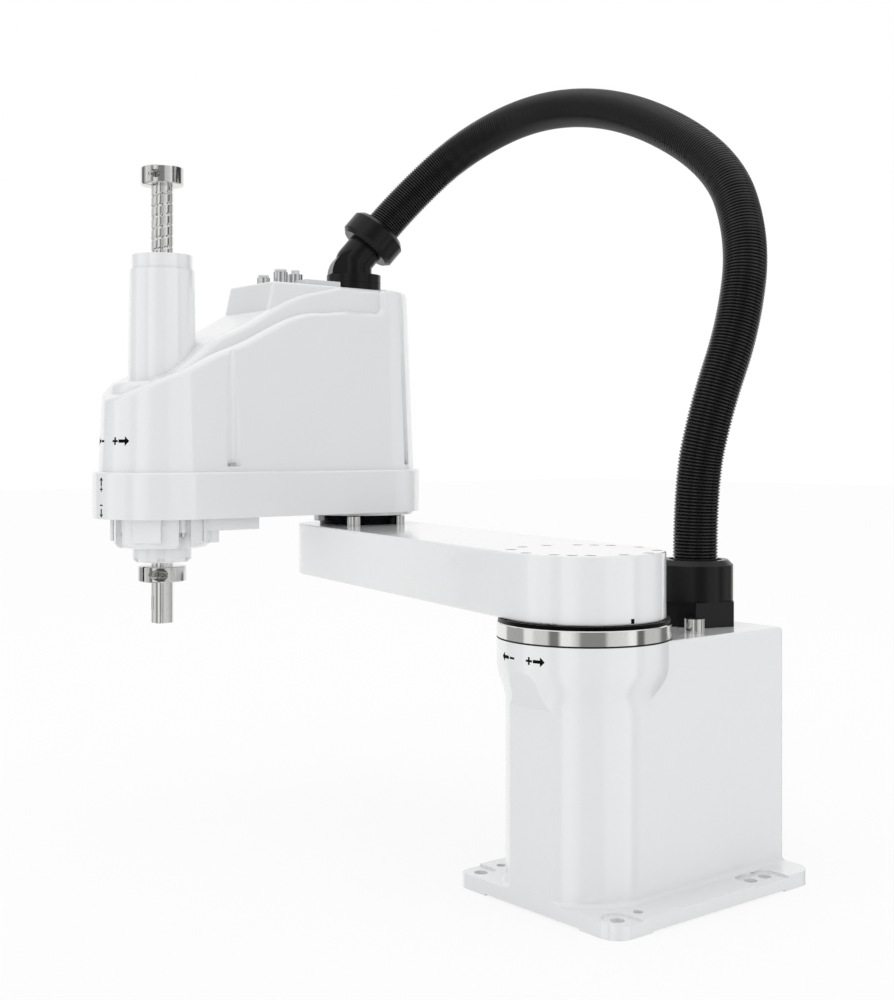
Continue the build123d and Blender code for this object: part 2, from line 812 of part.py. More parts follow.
# Black output flange of the first axis, running in the reducer and spigoted into the arm
with BuildPart() as output_flange:
    with BuildSketch(Plane.XZ):
        with BuildLine():
            Polyline(
                (output_bore_radius, ring_top - output_hub_depth),
                (reducer_bore_radius - running_clearance, ring_top - output_hub_depth),
                (reducer_bore_radius - running_clearance, ring_top + gap_clearance),
                (output_disc_radius, ring_top + gap_clearance),
                (output_disc_radius, inner_arm_bottom),
                (output_spigot_radius, inner_arm_bottom),
                (output_spigot_radius, inner_arm_bottom + output_spigot_height),
                (output_bore_radius, inner_arm_bottom + output_spigot_height),
                close=True,
            )
        make_face()
    revolve(axis=Axis.Z)
    with BuildSketch(inner_plane(inner_arm_bottom + output_spigot_height)):
        for turn in (0, 180):
            for angle in flange_screw_angles:
                with PolarLocations(flange_screw_circle, 1, start_angle=angle + turn):
                    Circle(flange_screw_radius + seat_clearance)
    extrude(amount=-output_spigot_height, mode=Mode.SUBTRACT)
output_flange.part.label = "first_axis_output_flange"
export_step(output_flange.part, "parts/first_axis_output_flange.step")

# Inner arm casting
with BuildPart() as inner_arm:
    with BuildSketch(inner_plane(inner_arm_bottom)):
        arm_outline(inner_arm_radius, inner_arm_radius, inner_arm_length)
    extrude(amount=inner_arm_thickness)
    chamfer_edges = inner_arm.edges().group_by(Axis.Z)
    fillet(chamfer_edges[-1] + chamfer_edges[0], inner_arm_edge)
    with BuildSketch(inner_plane(inner_arm_bottom)):
        Circle(output_spigot_radius + seat_clearance)
    extrude(amount=output_spigot_height, mode=Mode.SUBTRACT)
    with BuildSketch(inner_plane(inner_arm_bottom, (arm_pocket_start + arm_pocket_end) / 2)):
        RectangleRounded(
            arm_pocket_end - arm_pocket_start, 2 * (inner_arm_radius - arm_pocket_wall), arm_pocket_wall
        )
    extrude(amount=arm_pocket_depth, mode=Mode.SUBTRACT)
    rib_spacing = (arm_pocket_end - arm_pocket_start) / (arm_rib_count + 1)
    with BuildSketch(inner_plane(inner_arm_bottom + arm_rib_rise, (arm_pocket_start + arm_pocket_end) / 2)):
        with GridLocations(rib_spacing, 0, arm_rib_count, 1):
            Rectangle(arm_rib_thickness, 2 * inner_arm_radius - arm_pocket_wall)
        Rectangle(arm_pocket_end - arm_pocket_start, arm_rib_thickness)
    extrude(amount=arm_pocket_depth - arm_rib_rise)
    with BuildSketch(inner_plane(inner_arm_top, inner_arm_length)):
        Circle(second_reducer_spigot + seat_clearance)
    extrude(amount=-second_reducer_depth, mode=Mode.SUBTRACT)
    with BuildSketch(inner_plane(inner_arm_bottom)):
        with BuildLine():
            lug_outer = CenterArc(
                (0, 0), stop_post_circle + stop_lug_width / 2, -stop_lug_angle, 2 * stop_lug_angle
            )
            lug_inner = CenterArc(
                (0, 0), stop_post_circle - stop_lug_width / 2, -stop_lug_angle, 2 * stop_lug_angle
            )
            Line(lug_outer @ 0, lug_inner @ 0)
            Line(lug_outer @ 1, lug_inner @ 1)
        make_face()
    extrude(amount=-stop_lug_height)
    with BuildSketch(inner_plane(inner_arm_bottom, stop_post_circle)):
        Rectangle(2 * stop_lug_width, 2 * (inner_arm_radius - arm_pocket_wall))
    extrude(amount=arm_rib_rise)
    with BuildSketch(inner_plane(inner_arm_top)):
        for turn in (0, 180):
            for angle in flange_screw_angles:
                with PolarLocations(flange_screw_circle, 1, start_angle=angle + turn):
                    Circle(flange_screw_head_radius + screw_clearance)
    extrude(amount=-flange_screw_recess, mode=Mode.SUBTRACT)
    with BuildSketch(inner_plane(inner_arm_top)):
        for turn in (0, 180):
            for angle in flange_screw_angles:
                with PolarLocations(flange_screw_circle, 1, start_angle=angle + turn):
                    Circle(flange_screw_radius + seat_clearance)
    extrude(amount=-inner_arm_thickness, mode=Mode.SUBTRACT)
inner_arm.part.label = "inner_arm_casting"
export_step(inner_arm.part, "parts/inner_arm_casting.step")

# Screws that clamp the inner arm to the output flange
flange_screw_planes = [
    circle_plane(inner_plane(inner_arm_top - flange_screw_recess), flange_screw_circle, angle + turn)
    for turn in (0, 180)
    for angle in flange_screw_angles
]
flange_screws = screw_group(
    flange_screw_planes,
    flange_screw_head_radius,
    flange_screw_head_height,
    flange_screw_radius,
    inner_arm_thickness - flange_screw_recess - 1,
)
flange_screws.part.label = "first_axis_flange_screws"
export_step(flange_screws.part, "parts/first_axis_flange_screws.step")

# Reducer of the second axis in the end of the inner arm
with BuildPart() as second_reducer:
    with BuildSketch(inner_plane(inner_arm_top, inner_arm_length)):
        Circle(second_reducer_radius)
    extrude(amount=second_reducer_flange)
    with BuildSketch(inner_plane(inner_arm_top, inner_arm_length)):
        Circle(second_reducer_spigot)
    extrude(amount=-second_reducer_depth)
    with BuildSketch(inner_plane(inner_arm_top + second_reducer_flange, inner_arm_length)):
        Circle(second_reducer_bore)
    extrude(amount=ring_height - second_reducer_depth - second_reducer_flange, mode=Mode.SUBTRACT)
second_reducer.part.label = "second_axis_reducer"
export_step(second_reducer.part, "parts/second_axis_reducer.step")

# Stop posts of the second axis on the inner arm
with BuildPart() as second_axis_stops:
    for side, post_radius in zip((-1, 1), second_stop_radii):
        with BuildSketch(inner_plane(inner_arm_top, inner_arm_length)):
            with PolarLocations(second_stop_circle, 1, start_angle=180 + side * second_stop_angle):
                Circle(post_radius)
        extrude(amount=second_stop_height)
second_axis_stops.part.label = "second_axis_stop_posts"
export_step(second_axis_stops.part, "parts/second_axis_stop_posts.step")

# Output flange of the second axis, bolted under the outer arm
second_output_bottom = inner_arm_top + second_reducer_flange + gap_clearance
with BuildPart() as second_output:
    with BuildSketch(outer_plane(second_output_bottom)):
        Circle(second_output_radius)
    extrude(amount=tray_bottom - second_output_bottom)
    with BuildSketch(outer_plane(second_output_bottom)):
        Circle(second_reducer_bore - running_clearance)
    extrude(amount=-ring_height)
    with BuildSketch(outer_plane(tray_bottom)):
        Circle(motor_shaft_radius + seat_clearance)
    extrude(amount=-tray_height, mode=Mode.SUBTRACT)
    with BuildSketch(outer_plane(tray_bottom)):
        with PolarLocations(flange_bolt_circle, flange_bolt_count, start_angle=flange_bolt_turn):
            Circle(flange_bolt_radius + seat_clearance)
    extrude(amount=second_output_bottom - tray_bottom, mode=Mode.SUBTRACT)
second_output.part.label = "second_axis_output_flange"
export_step(second_output.part, "parts/second_axis_output_flange.step")

# Outer arm casting: an open tray with a boss under the root, and bores for what is bolted to it
with BuildPart() as outer_arm:
    with BuildSketch(outer_plane(tray_bottom)):
        arm_outline(tray_root_radius, tray_tip_radius, outer_arm_length)
    extrude(amount=tray_height)
    fillet(outer_arm.edges().group_by(Axis.Z)[-1], tray_edge)
    with BuildSketch(outer_plane(tray_bottom)):
        Circle(second_output_boss_radius)
    extrude(amount=-second_output_boss_height)
    with BuildSketch(outer_plane(tray_bottom)):
        with Locations((second_stop_circle, 0)):
            Rectangle(second_stop_lug_width, second_stop_lug_width)
    extrude(amount=-second_stop_height)
    with BuildSketch(outer_plane(tray_floor_top)):
        arm_outline(tray_root_radius - tray_wall, tray_tip_radius - tray_wall, outer_arm_length)
    extrude(amount=tray_height, mode=Mode.SUBTRACT)
    with BuildSketch(outer_plane(tray_floor_top)):
        with Locations(*cover_screw_places):
            Circle(cover_boss_radius)
    extrude(amount=tray_height - tray_floor)
    with BuildSketch(outer_plane(tray_bottom)):
        Circle(second_output_radius + seat_clearance)
    extrude(amount=-second_stop_height, mode=Mode.SUBTRACT)
    with BuildSketch(outer_plane(tray_bottom)):
        Circle(motor_pilot_radius)
        with Locations((outer_arm_length, 0)):
            Circle(nut_bore_radius)
        with PolarLocations(flange_bolt_circle, flange_bolt_count, start_angle=flange_bolt_turn):
            Circle(flange_bolt_radius + seat_clearance)
        with Locations((outer_arm_length, 0)):
            with PolarLocations(housing_screw_circle, housing_screw_count, start_angle=housing_screw_turn):
                Circle(flange_bolt_radius + seat_clearance)
    extrude(amount=tray_floor, mode=Mode.SUBTRACT)
    with BuildSketch(outer_plane(tray_top)):
        with Locations(*cover_screw_places):
            Circle(cover_screw_radius + seat_clearance)
    extrude(amount=-cover_screw_length, mode=Mode.SUBTRACT)
outer_arm.part.label = "outer_arm_casting"
export_step(outer_arm.part, "parts/outer_arm_casting.step")

# Screws between the tray and the second output flange
second_flange_screws = screw_group(
    [
        circle_plane(
            outer_plane(tray_floor_top), flange_bolt_circle, flange_bolt_turn + 360 * k / flange_bolt_count
        )
        for k in range(flange_bolt_count)
    ],
    flange_screw_head_radius,
    flange_screw_head_height,
    flange_bolt_radius,
    tray_top - second_output_bottom - tray_height + tray_floor,
)
second_flange_screws.part.label = "second_axis_flange_screws"
export_step(second_flange_screws.part, "parts/second_axis_flange_screws.step")

# Nut housing under the tip, with ribs and a stepped wing towards the root
lower_bearing_top = lower_bearing_z + lower_bearing_width
with BuildPart() as nut_housing:
    with BuildSketch(outer_plane(tray_bottom, outer_arm_length)):
        Circle(housing_radius)
    extrude(amount=-housing_depth)
    fillet(nut_housing.edges().group_by(Axis.Z)[0], housing_fillet)
    with BuildSketch(outer_plane(tray_bottom, outer_arm_length)):
        with PolarLocations(housing_radius, housing_pad_count, start_angle=housing_pad_turn):
            Rectangle(2 * housing_pad_proud, housing_pad_width)
    extrude(amount=housing_fillet + gap_clearance - housing_depth)
    with BuildSketch(outer_plane(tray_bottom, outer_arm_length)):
        with PolarLocations(housing_pocket_circle, housing_screw_count, start_angle=housing_screw_turn):
            Circle(housing_pocket_radius)
    extrude(amount=-housing_depth, mode=Mode.SUBTRACT)
    with BuildSketch(outer_plane(tray_bottom, outer_arm_length)):
        with PolarLocations(housing_screw_circle, housing_screw_count, start_angle=housing_screw_turn):
            Circle(housing_screw_head_radius)
    extrude(amount=housing_screw_recess - housing_depth)
    with BuildSketch(outer_plane(tray_bottom, outer_arm_length - wing_reach / 2)):
        Rectangle(wing_reach, 2 * wing_half_width)
    extrude(amount=-wing_depth)
    with BuildSketch(outer_plane(tray_bottom, outer_arm_length - step_reach / 2)):
        Rectangle(step_reach, 2 * step_half_width)
    extrude(amount=-step_depth)
    with BuildSketch(outer_plane(tray_bottom, outer_arm_length)):
        Circle(nut_bore_radius)
    extrude(amount=lower_bearing_top - tray_bottom, mode=Mode.SUBTRACT)
    with BuildSketch(outer_plane(tray_bottom, outer_arm_length)):
        Circle(lower_bearing_radius)
    extrude(amount=lower_bearing_z - tray_bottom, mode=Mode.SUBTRACT)
    with BuildSketch(outer_plane(tray_bottom, outer_arm_length)):
        Circle(spline_nut_radius + nut_hole_room)
    extrude(amount=-housing_depth, mode=Mode.SUBTRACT)
    with BuildSketch(outer_plane(housing_bottom, outer_arm_length)):
        with PolarLocations(housing_screw_circle, housing_screw_count, start_angle=housing_screw_turn):
            Circle(housing_screw_head_radius + screw_clearance)
    extrude(amount=housing_screw_recess, mode=Mode.SUBTRACT)
    with BuildSketch(outer_plane(housing_bottom, outer_arm_length)):
        with PolarLocations(housing_screw_circle, housing_screw_count, start_angle=housing_screw_turn):
            Circle(flange_bolt_radius + seat_clearance)
    extrude(amount=housing_depth, mode=Mode.SUBTRACT)
nut_housing.part.label = "nut_housing"
export_step(nut_housing.part, "parts/nut_housing.step")

housing_screw_planes = [
    Plane(
        circle_plane(
            outer_plane(housing_bottom + housing_screw_recess, outer_arm_length),
            housing_screw_circle,
            housing_screw_turn + 360 * k / housing_screw_count,
        ).origin,
        z_dir=(0, 0, -1),
    )
    for k in range(housing_screw_count)
]
housing_screws = screw_group(
    housing_screw_planes,
    housing_screw_head_radius,
    housing_screw_head_height,
    flange_bolt_radius,
    housing_depth - housing_screw_recess + tray_floor,
)
housing_screws.part.label = "nut_housing_screws"
export_step(housing_screws.part, "parts/nut_housing_screws.step")

# Seal cap round the shaft under the nut housing, with spanner notches
with BuildPart() as seal_cap:
    with BuildSketch(outer_plane(housing_bottom, outer_arm_length)):
        Circle(seal_cap_radius)
    extrude(amount=-seal_cap_height)
    chamfer(seal_cap.edges().group_by(Axis.Z)[0], seal_cap_chamfer)
    with BuildSketch(outer_plane(housing_bottom - seal_cap_height, outer_arm_length)):
        Circle(seal_cap_bore)
    extrude(amount=seal_cap_floor, mode=Mode.SUBTRACT)
    with BuildSketch(outer_plane(housing_bottom - seal_cap_height, outer_arm_length)):
        with PolarLocations(seal_cap_radius, seal_cap_notches):
            Rectangle(2 * seal_cap_notch_reach, seal_cap_notch_width)
    extrude(amount=seal_cap_notch_depth, mode=Mode.SUBTRACT)
    with BuildSketch(outer_plane(housing_bottom, outer_arm_length)):
        Circle(spline_nut_radius + seal_cap_room)
    extrude(amount=-seal_cap_height + seal_cap_floor, mode=Mode.SUBTRACT)
seal_cap.part.label = "seal_cap"
export_step(seal_cap.part, "parts/seal_cap.step")

# Second axis motor and encoder on the tray floor
second_motor = servo_motor(
    outer_plane(tray_floor_top),
    second_motor_width,
    large_motor_length,
    large_motor_flange,
    motor_shaft_radius,
    motor_shaft_length,
)
second_motor.part.label = "second_axis_motor"
export_step(second_motor.part, "parts/second_axis_motor.step")

with BuildPart() as second_encoder:
    with BuildSketch(outer_plane(tray_floor_top + large_motor_length)):
        RectangleRounded(small_encoder_width, small_encoder_width, motor_corner)
    extrude(amount=encoder_length)
second_encoder.part.label = "second_axis_encoder"
export_step(second_encoder.part, "parts/second_axis_encoder.step")

# Motor plate on standoffs above the belts
with BuildPart() as motor_plate:
    with BuildSketch(outer_plane(motor_plate_z)):
        with Locations(((motor_plate_start + outer_arm_length - motor_plate_half_width) / 2, 0)):
            Rectangle(
                outer_arm_length - motor_plate_half_width - motor_plate_start, 2 * motor_plate_half_width
            )
        with Locations((outer_arm_length, 0)):
            Circle(motor_plate_nose_radius)
        make_hull()
        with Locations((outer_arm_length, 0)):
            Circle(upper_bearing_radius, mode=Mode.SUBTRACT)
        with Locations((lift_motor_along, 0), (turn_motor_along, 0)):
            Circle(motor_plate_pilot, mode=Mode.SUBTRACT)
    extrude(amount=motor_plate_thickness)
motor_plate.part.label = "motor_plate"
export_step(motor_plate.part, "parts/motor_plate.step")

with BuildPart() as standoffs:
    with BuildSketch(outer_plane(tray_floor_top)):
        with Locations(*standoff_places):
            RegularPolygon(standoff_radius, 6)
    extrude(amount=motor_plate_z - tray_floor_top)
standoffs.part.label = "motor_plate_standoffs"
export_step(standoffs.part, "parts/motor_plate_standoffs.step")

# Lift motor with its brake and encoder, and turn motor with its encoder
lift_motor = servo_motor(
    outer_plane(motor_plate_top, lift_motor_along),
    small_motor_width,
    lift_motor_length,
    small_motor_flange,
    small_shaft_radius + running_clearance,
)
lift_motor.part.label = "lift_motor"
export_step(lift_motor.part, "parts/lift_motor.step")

with BuildPart() as lift_motor_brake:
    with BuildSketch(outer_plane(motor_plate_top + lift_motor_length, lift_motor_along)):
        RectangleRounded(small_motor_width, small_motor_width, motor_corner)
    extrude(amount=brake_length)
lift_motor_brake.part.label = "lift_motor_brake"
export_step(lift_motor_brake.part, "parts/lift_motor_brake.step")

with BuildPart() as lift_motor_encoder:
    with BuildSketch(outer_plane(motor_plate_top + lift_motor_length + brake_length, lift_motor_along)):
        RectangleRounded(small_encoder_width, small_encoder_width, motor_corner)
    extrude(amount=small_encoder_length)
lift_motor_encoder.part.label = "lift_motor_encoder"
export_step(lift_motor_encoder.part, "parts/lift_motor_encoder.step")

turn_motor = servo_motor(
    outer_plane(motor_plate_top, turn_motor_along),
    small_motor_width,
    turn_motor_length,
    small_motor_flange,
    small_shaft_radius + running_clearance,
)
turn_motor.part.label = "turn_motor"
export_step(turn_motor.part, "parts/turn_motor.step")

with BuildPart() as turn_motor_encoder:
    with BuildSketch(outer_plane(motor_plate_top + turn_motor_length, turn_motor_along)):
        RectangleRounded(small_encoder_width, small_encoder_width, motor_corner)
    extrude(amount=small_encoder_length)
turn_motor_encoder.part.label = "turn_motor_encoder"
export_step(turn_motor_encoder.part, "parts/turn_motor_encoder.step")

# Motor shafts, pulleys and belts
with BuildPart() as turn_motor_shaft:
    with BuildSketch(outer_plane(turn_belt_z - shaft_below_pulley, turn_motor_along)):
        Circle(small_shaft_radius)
    extrude(amount=motor_plate_top + turn_motor_length / 2 - turn_belt_z)
turn_motor_shaft.part.label = "turn_motor_shaft"
export_step(turn_motor_shaft.part, "parts/turn_motor_shaft.step")

with BuildPart() as lift_motor_shaft:
    with BuildSketch(outer_plane(lift_belt_z - shaft_below_pulley, lift_motor_along)):
        Circle(small_shaft_radius)
    extrude(amount=motor_plate_top + lift_motor_length / 2 - lift_belt_z)
lift_motor_shaft.part.label = "lift_motor_shaft"
export_step(lift_motor_shaft.part, "parts/lift_motor_shaft.step")

turn_motor_pulley = toothed_pulley(
    outer_plane(turn_belt_z, turn_motor_along), turn_motor_teeth, small_shaft_radius
)
turn_motor_pulley.part.label = "turn_motor_pulley"
export_step(turn_motor_pulley.part, "parts/turn_motor_pulley.step")

lift_motor_pulley = toothed_pulley(
    outer_plane(lift_belt_z, lift_motor_along), lift_motor_teeth, small_shaft_radius
)
lift_motor_pulley.part.label = "lift_motor_pulley"
export_step(lift_motor_pulley.part, "parts/lift_motor_pulley.step")

spline_nut_pulley = toothed_pulley(
    outer_plane(turn_belt_z, outer_arm_length), turn_nut_teeth, spline_nut_radius
)
spline_nut_pulley.part.label = "spline_nut_pulley"
export_step(spline_nut_pulley.part, "parts/spline_nut_pulley.step")

ball_nut_pulley = toothed_pulley(outer_plane(lift_belt_z, outer_arm_length), lift_nut_teeth, ball_nut_radius)
ball_nut_pulley.part.label = "ball_nut_pulley"
export_step(ball_nut_pulley.part, "parts/ball_nut_pulley.step")

turn_belt = belt_loop(
    outer_plane(turn_belt_z, turn_motor_along),
    turn_motor_teeth,
    turn_nut_teeth,
    outer_arm_length - turn_motor_along,
)
turn_belt.part.label = "turn_belt"
export_step(turn_belt.part, "parts/turn_belt.step")

lift_belt = belt_loop(
    outer_plane(lift_belt_z, lift_motor_along),
    lift_motor_teeth,
    lift_nut_teeth,
    outer_arm_length - lift_motor_along,
)
lift_belt.part.label = "lift_belt"
export_step(lift_belt.part, "parts/lift_belt.step")

# Spline nut and ball nut on the shaft, with the bearings that hold them
with BuildPart() as spline_nut:
    with BuildSketch(outer_plane(spline_nut_bottom, outer_arm_length)):
        Circle(spline_nut_radius)
        Circle(shaft_radius + running_clearance, mode=Mode.SUBTRACT)
    extrude(amount=spline_nut_top - spline_nut_bottom)
spline_nut.part.label = "spline_nut"
export_step(spline_nut.part, "parts/spline_nut.step")

with BuildPart() as ball_nut:
    with BuildSketch(outer_plane(ball_nut_bottom, outer_arm_length)):
        Circle(ball_nut_radius)
        Circle(shaft_radius + running_clearance, mode=Mode.SUBTRACT)
    extrude(amount=ball_nut_top - ball_nut_bottom)
ball_nut.part.label = "ball_nut"
export_step(ball_nut.part, "parts/ball_nut.step")

with BuildPart() as nut_bearings:
    with BuildSketch(outer_plane(lower_bearing_z, outer_arm_length)):
        Circle(lower_bearing_radius)
        Circle(spline_nut_radius + running_clearance, mode=Mode.SUBTRACT)
    extrude(amount=lower_bearing_width)
    with BuildSketch(outer_plane(motor_plate_z, outer_arm_length)):
        Circle(upper_bearing_radius)
        Circle(ball_nut_radius + running_clearance, mode=Mode.SUBTRACT)
    extrude(amount=motor_plate_thickness)
nut_bearings.part.label = "nut_bearings"
export_step(nut_bearings.part, "parts/nut_bearings.step")

# Splined screw shaft: hollow, with grooves along it and a flat over one of them near the lower end
with BuildPart() as shaft:
    with BuildSketch(outer_plane(shaft_bottom, outer_arm_length)):
        Circle(shaft_radius)
        Circle(shaft_bore_radius, mode=Mode.SUBTRACT)
        with PolarLocations(shaft_radius + spline_radius / 2, spline_count, start_angle=spline_turn):
            Circle(spline_radius, mode=Mode.SUBTRACT)
    extrude(amount=shaft_top - shaft_bottom)
    with BuildSketch(outer_plane(lower_collar_bottom - shaft_relief_width / 2, outer_arm_length)):
        Circle(2 * shaft_radius)
        Circle(shaft_radius - shaft_relief_depth, mode=Mode.SUBTRACT)
    extrude(amount=shaft_relief_width, mode=Mode.SUBTRACT)
    with BuildSketch(outer_plane(shaft_flat_bottom, outer_arm_length)):
        with PolarLocations(2 * shaft_radius - shaft_flat_depth, 1, start_angle=spline_turn):
            Rectangle(2 * shaft_radius, 2 * shaft_radius)
    extrude(amount=shaft_flat_top - shaft_flat_bottom, mode=Mode.SUBTRACT)
shaft.part.label = "splined_shaft"
export_step(shaft.part, "parts/splined_shaft.step")


def clamp_collar(bottom, radius, height, turn, head_radius, screw_radius, seat):
    """Split collar round the shaft, with a slot and a clamp screw hole across it, and the screw's seat."""
    upright = outer_plane(bottom + height / 2, outer_arm_length).rotated((0, 0, turn))
    across = Plane(upright.origin, x_dir=upright.x_dir, z_dir=upright.y_dir)
    offset = shaft_radius + collar_screw_web + screw_radius
    with BuildPart() as collar:
        with BuildSketch(outer_plane(bottom, outer_arm_length)):
            Circle(radius)
        extrude(amount=height)
        chamfer(collar.edges().group_by(Axis.Z)[0] + collar.edges().group_by(Axis.Z)[-1], collar_chamfer)
        with BuildSketch(outer_plane(bottom, outer_arm_length)):
            Circle(shaft_radius)
            with PolarLocations((radius + shaft_radius) / 2, 1, start_angle=turn):
                Rectangle(radius, collar_slot)
        extrude(amount=height, mode=Mode.SUBTRACT)
        with BuildSketch(across.offset(-radius)):
            with Locations((offset, 0)):
                Circle(screw_radius + seat_clearance)
        extrude(amount=2 * radius, mode=Mode.SUBTRACT)
        with BuildSketch(across.offset(seat)):
            with Locations((offset, 0)):
                Circle(head_radius + screw_clearance)
        extrude(amount=radius, mode=Mode.SUBTRACT)
    return collar, Plane(across.location * Location((offset, 0, seat)))


upper_collar, upper_collar_seat = clamp_collar(
    shaft_top - upper_collar_height,
    upper_collar_radius,
    upper_collar_height,
    upper_collar_turn,
    upper_screw_head_radius,
    upper_screw_radius,
    upper_screw_seat,
)
upper_collar.part.label = "upper_collar"
export_step(upper_collar.part, "parts/upper_collar.step")

lower_collar, lower_collar_seat = clamp_collar(
    lower_collar_bottom,
    lower_collar_radius,
    lower_collar_height,
    lower_collar_turn,
    lower_screw_head_radius,
    lower_screw_radius,
    lower_screw_seat,
)
lower_collar.part.label = "lower_collar"
export_step(lower_collar.part, "parts/lower_collar.step")

with BuildPart() as collar_screws:
    add(
        screw_group(
            [upper_collar_seat],
            upper_screw_head_radius,
            upper_screw_head_height,
            upper_screw_radius,
            upper_screw_seat + collar_screw_end,
        ).part
    )
    add(
        screw_group(
            [lower_collar_seat],
            lower_screw_head_radius,
            lower_screw_head_height,
            lower_screw_radius,
            lower_screw_seat + collar_screw_end,
        ).part
    )
collar_screws.part.label = "collar_screws"
export_step(collar_screws.part, "parts/collar_screws.step")


def arm_plane(height, along=0.0):
    """Horizontal plane in the outer arm's own frame, with X along the arm from the second axis."""
    return Plane((along, 0, height))


def arm_side():
    """Upright plane through the centreline in the outer arm's own frame, with Y up."""
    return Plane(origin=(0, 0, 0), x_dir=(1, 0, 0), z_dir=(0, -1, 0))


def cover_tier(inset, side_inset, profile, flat_end, flat_height, rear_end):
    """One tapered tier of the cover, cut along its top by a side profile."""
    with BuildPart() as tier:
        with BuildSketch(arm_plane(tray_top)):
            arm_outline(cover_root_radius - side_inset, cover_tip_radius - side_inset, outer_arm_length)
        extrude(amount=cover_top - tray_top - inset, taper=cover_draft)
        with BuildSketch(arm_side()):
            with BuildLine():
                slope = Spline(*[(along, height - inset) for along, height in profile])
                Polyline(
                    slope @ 1,
                    (flat_end, flat_height - inset),
                    (rear_end + cover_tail_run, flat_height - inset),
                    (rear_end, 2 * cover_top),
                    (2 * outer_arm_length, 2 * cover_top),
                    (2 * outer_arm_length, (slope @ 0).Y),
                    slope @ 0,
                )
            make_face()
        extrude(amount=2 * cover_tip_radius, both=True, mode=Mode.SUBTRACT)
        rim = [edge for edge in tier.edges() if edge.bounding_box().min.Z > tray_top + cover_fillet]
        fillet(rim, cover_fillet)
    return tier


def cover_crest(inset):
    """Raised block on the cover that carries the fittings, with a sloped front."""
    with BuildPart() as crest:
        with BuildSketch(arm_side()):
            Polygon(
                (crest_rear, crest_bottom),
                (crest_foot - inset, crest_bottom),
                (crest_front - inset, cover_top - inset),
                (crest_rear, cover_top - inset),
                align=None,
            )
        extrude(amount=crest_half_width - inset, both=True)
        front = crest.faces().sort_by(Axis(origin=(0, 0, 0), direction=(1, 0, 0)))[-1]
        sides = crest.edges().group_by(Axis.Z)[-1].filter_by(Axis(origin=(0, 0, 0), direction=(1, 0, 0)))
        fillet(front.edges().group_by(Axis.Z)[1:] + sides, crest_fillet)
    return crest


def cover_form(inset, channel_bottom, tower_end):
    """Solid form of the upper cover, or of its hollow when the inset is a wall."""
    with BuildPart() as form:
        add(
            cover_tier(
                inset, inset, cover_shoulder, cover_shoulder_run, cover_shoulder_height, cover_tail_start
            ).part
        )
        add(
            cover_tier(
                inset, cover_inner_inset + inset, cover_ramp, cover_ramp_end, cover_top, -outer_arm_length
            ).part
        )
        add(cover_crest(inset).part)
        with BuildSketch(arm_plane(tower_base_z, outer_arm_length)):
            Circle(tower_base_radius - inset)
        with BuildSketch(arm_plane(tower_end, outer_arm_length)):
            Circle(tower_top_radius - inset)
        loft()
        for side in (-1, 1):
            with BuildSketch(arm_plane(channel_bottom)):
                with Locations((channel_along, side * channel_across)):
                    Circle(channel_radius + inset)
                with PolarLocations(tail_channel_circle, 1, start_angle=side * tail_channel_angle):
                    Circle(tail_channel_radius + inset)
                    with Locations((tail_channel_radius, 0)):
                        Rectangle(2 * tail_channel_radius, 2 * (tail_channel_radius + inset))
            extrude(amount=cover_top, mode=Mode.SUBTRACT)
    return form


# Upper cover: one moulding with a tower for the shaft, screw channels and a crest, drawn in the arm's
# own frame and then set on the tray
with BuildPart() as cover_moulding:
    add(cover_form(0, tray_top + channel_foot, tower_top).part)
    add(cover_form(cover_wall, tray_top, 2 * tower_top).part, mode=Mode.SUBTRACT)
    with BuildSketch(arm_plane(tray_top)):
        with Locations(*cover_screw_places):
            Circle(cover_screw_radius + seat_clearance)
    extrude(amount=channel_foot, mode=Mode.SUBTRACT)
    with BuildSketch(arm_plane(cover_top)):
        with Locations((elbow_along, 0)):
            Circle(cable_hole_radius)
        with Locations(*air_fitting_places, (brake_button_along, 0)):
            Circle(fitting_shank_radius + seat_clearance)
    extrude(amount=-cover_wall, mode=Mode.SUBTRACT)
with BuildPart() as upper_cover:
    add(cover_moulding.part.moved(outer_plane(0).location))
upper_cover.part.label = "upper_cover"
export_step(upper_cover.part, "parts/upper_cover.step")

cover_screws = screw_group(
    [outer_plane(tray_top + channel_foot, along, across) for along, across in cover_screw_places],
    cover_screw_head_radius,
    cover_screw_head_height,
    cover_screw_radius,
    cover_screw_length,
)
cover_screws.part.label = "cover_screws"
export_step(cover_screws.part, "parts/cover_screws.step")

with BuildPart() as tower_cap:
    with BuildSketch(outer_plane(tower_top, outer_arm_length)):
        Circle(tower_cap_radius)
        Circle(tower_cap_bore, mode=Mode.SUBTRACT)
    extrude(amount=tower_cap_height)
tower_cap.part.label = "tower_cap"
export_step(tower_cap.part, "parts/tower_cap.step")

# Elbow of the duct: fixed flange, turning elbow and ring nut
elbow_plane = outer_plane(cover_top, elbow_along)
with BuildPart() as elbow_flange:
    with BuildSketch(elbow_plane):
        Circle(elbow_flange_radius)
        Circle(elbow_bore_radius, mode=Mode.SUBTRACT)
    extrude(amount=elbow_flange_height)
elbow_flange.part.label = "elbow_flange"
export_step(elbow_flange.part, "parts/elbow_flange.step")

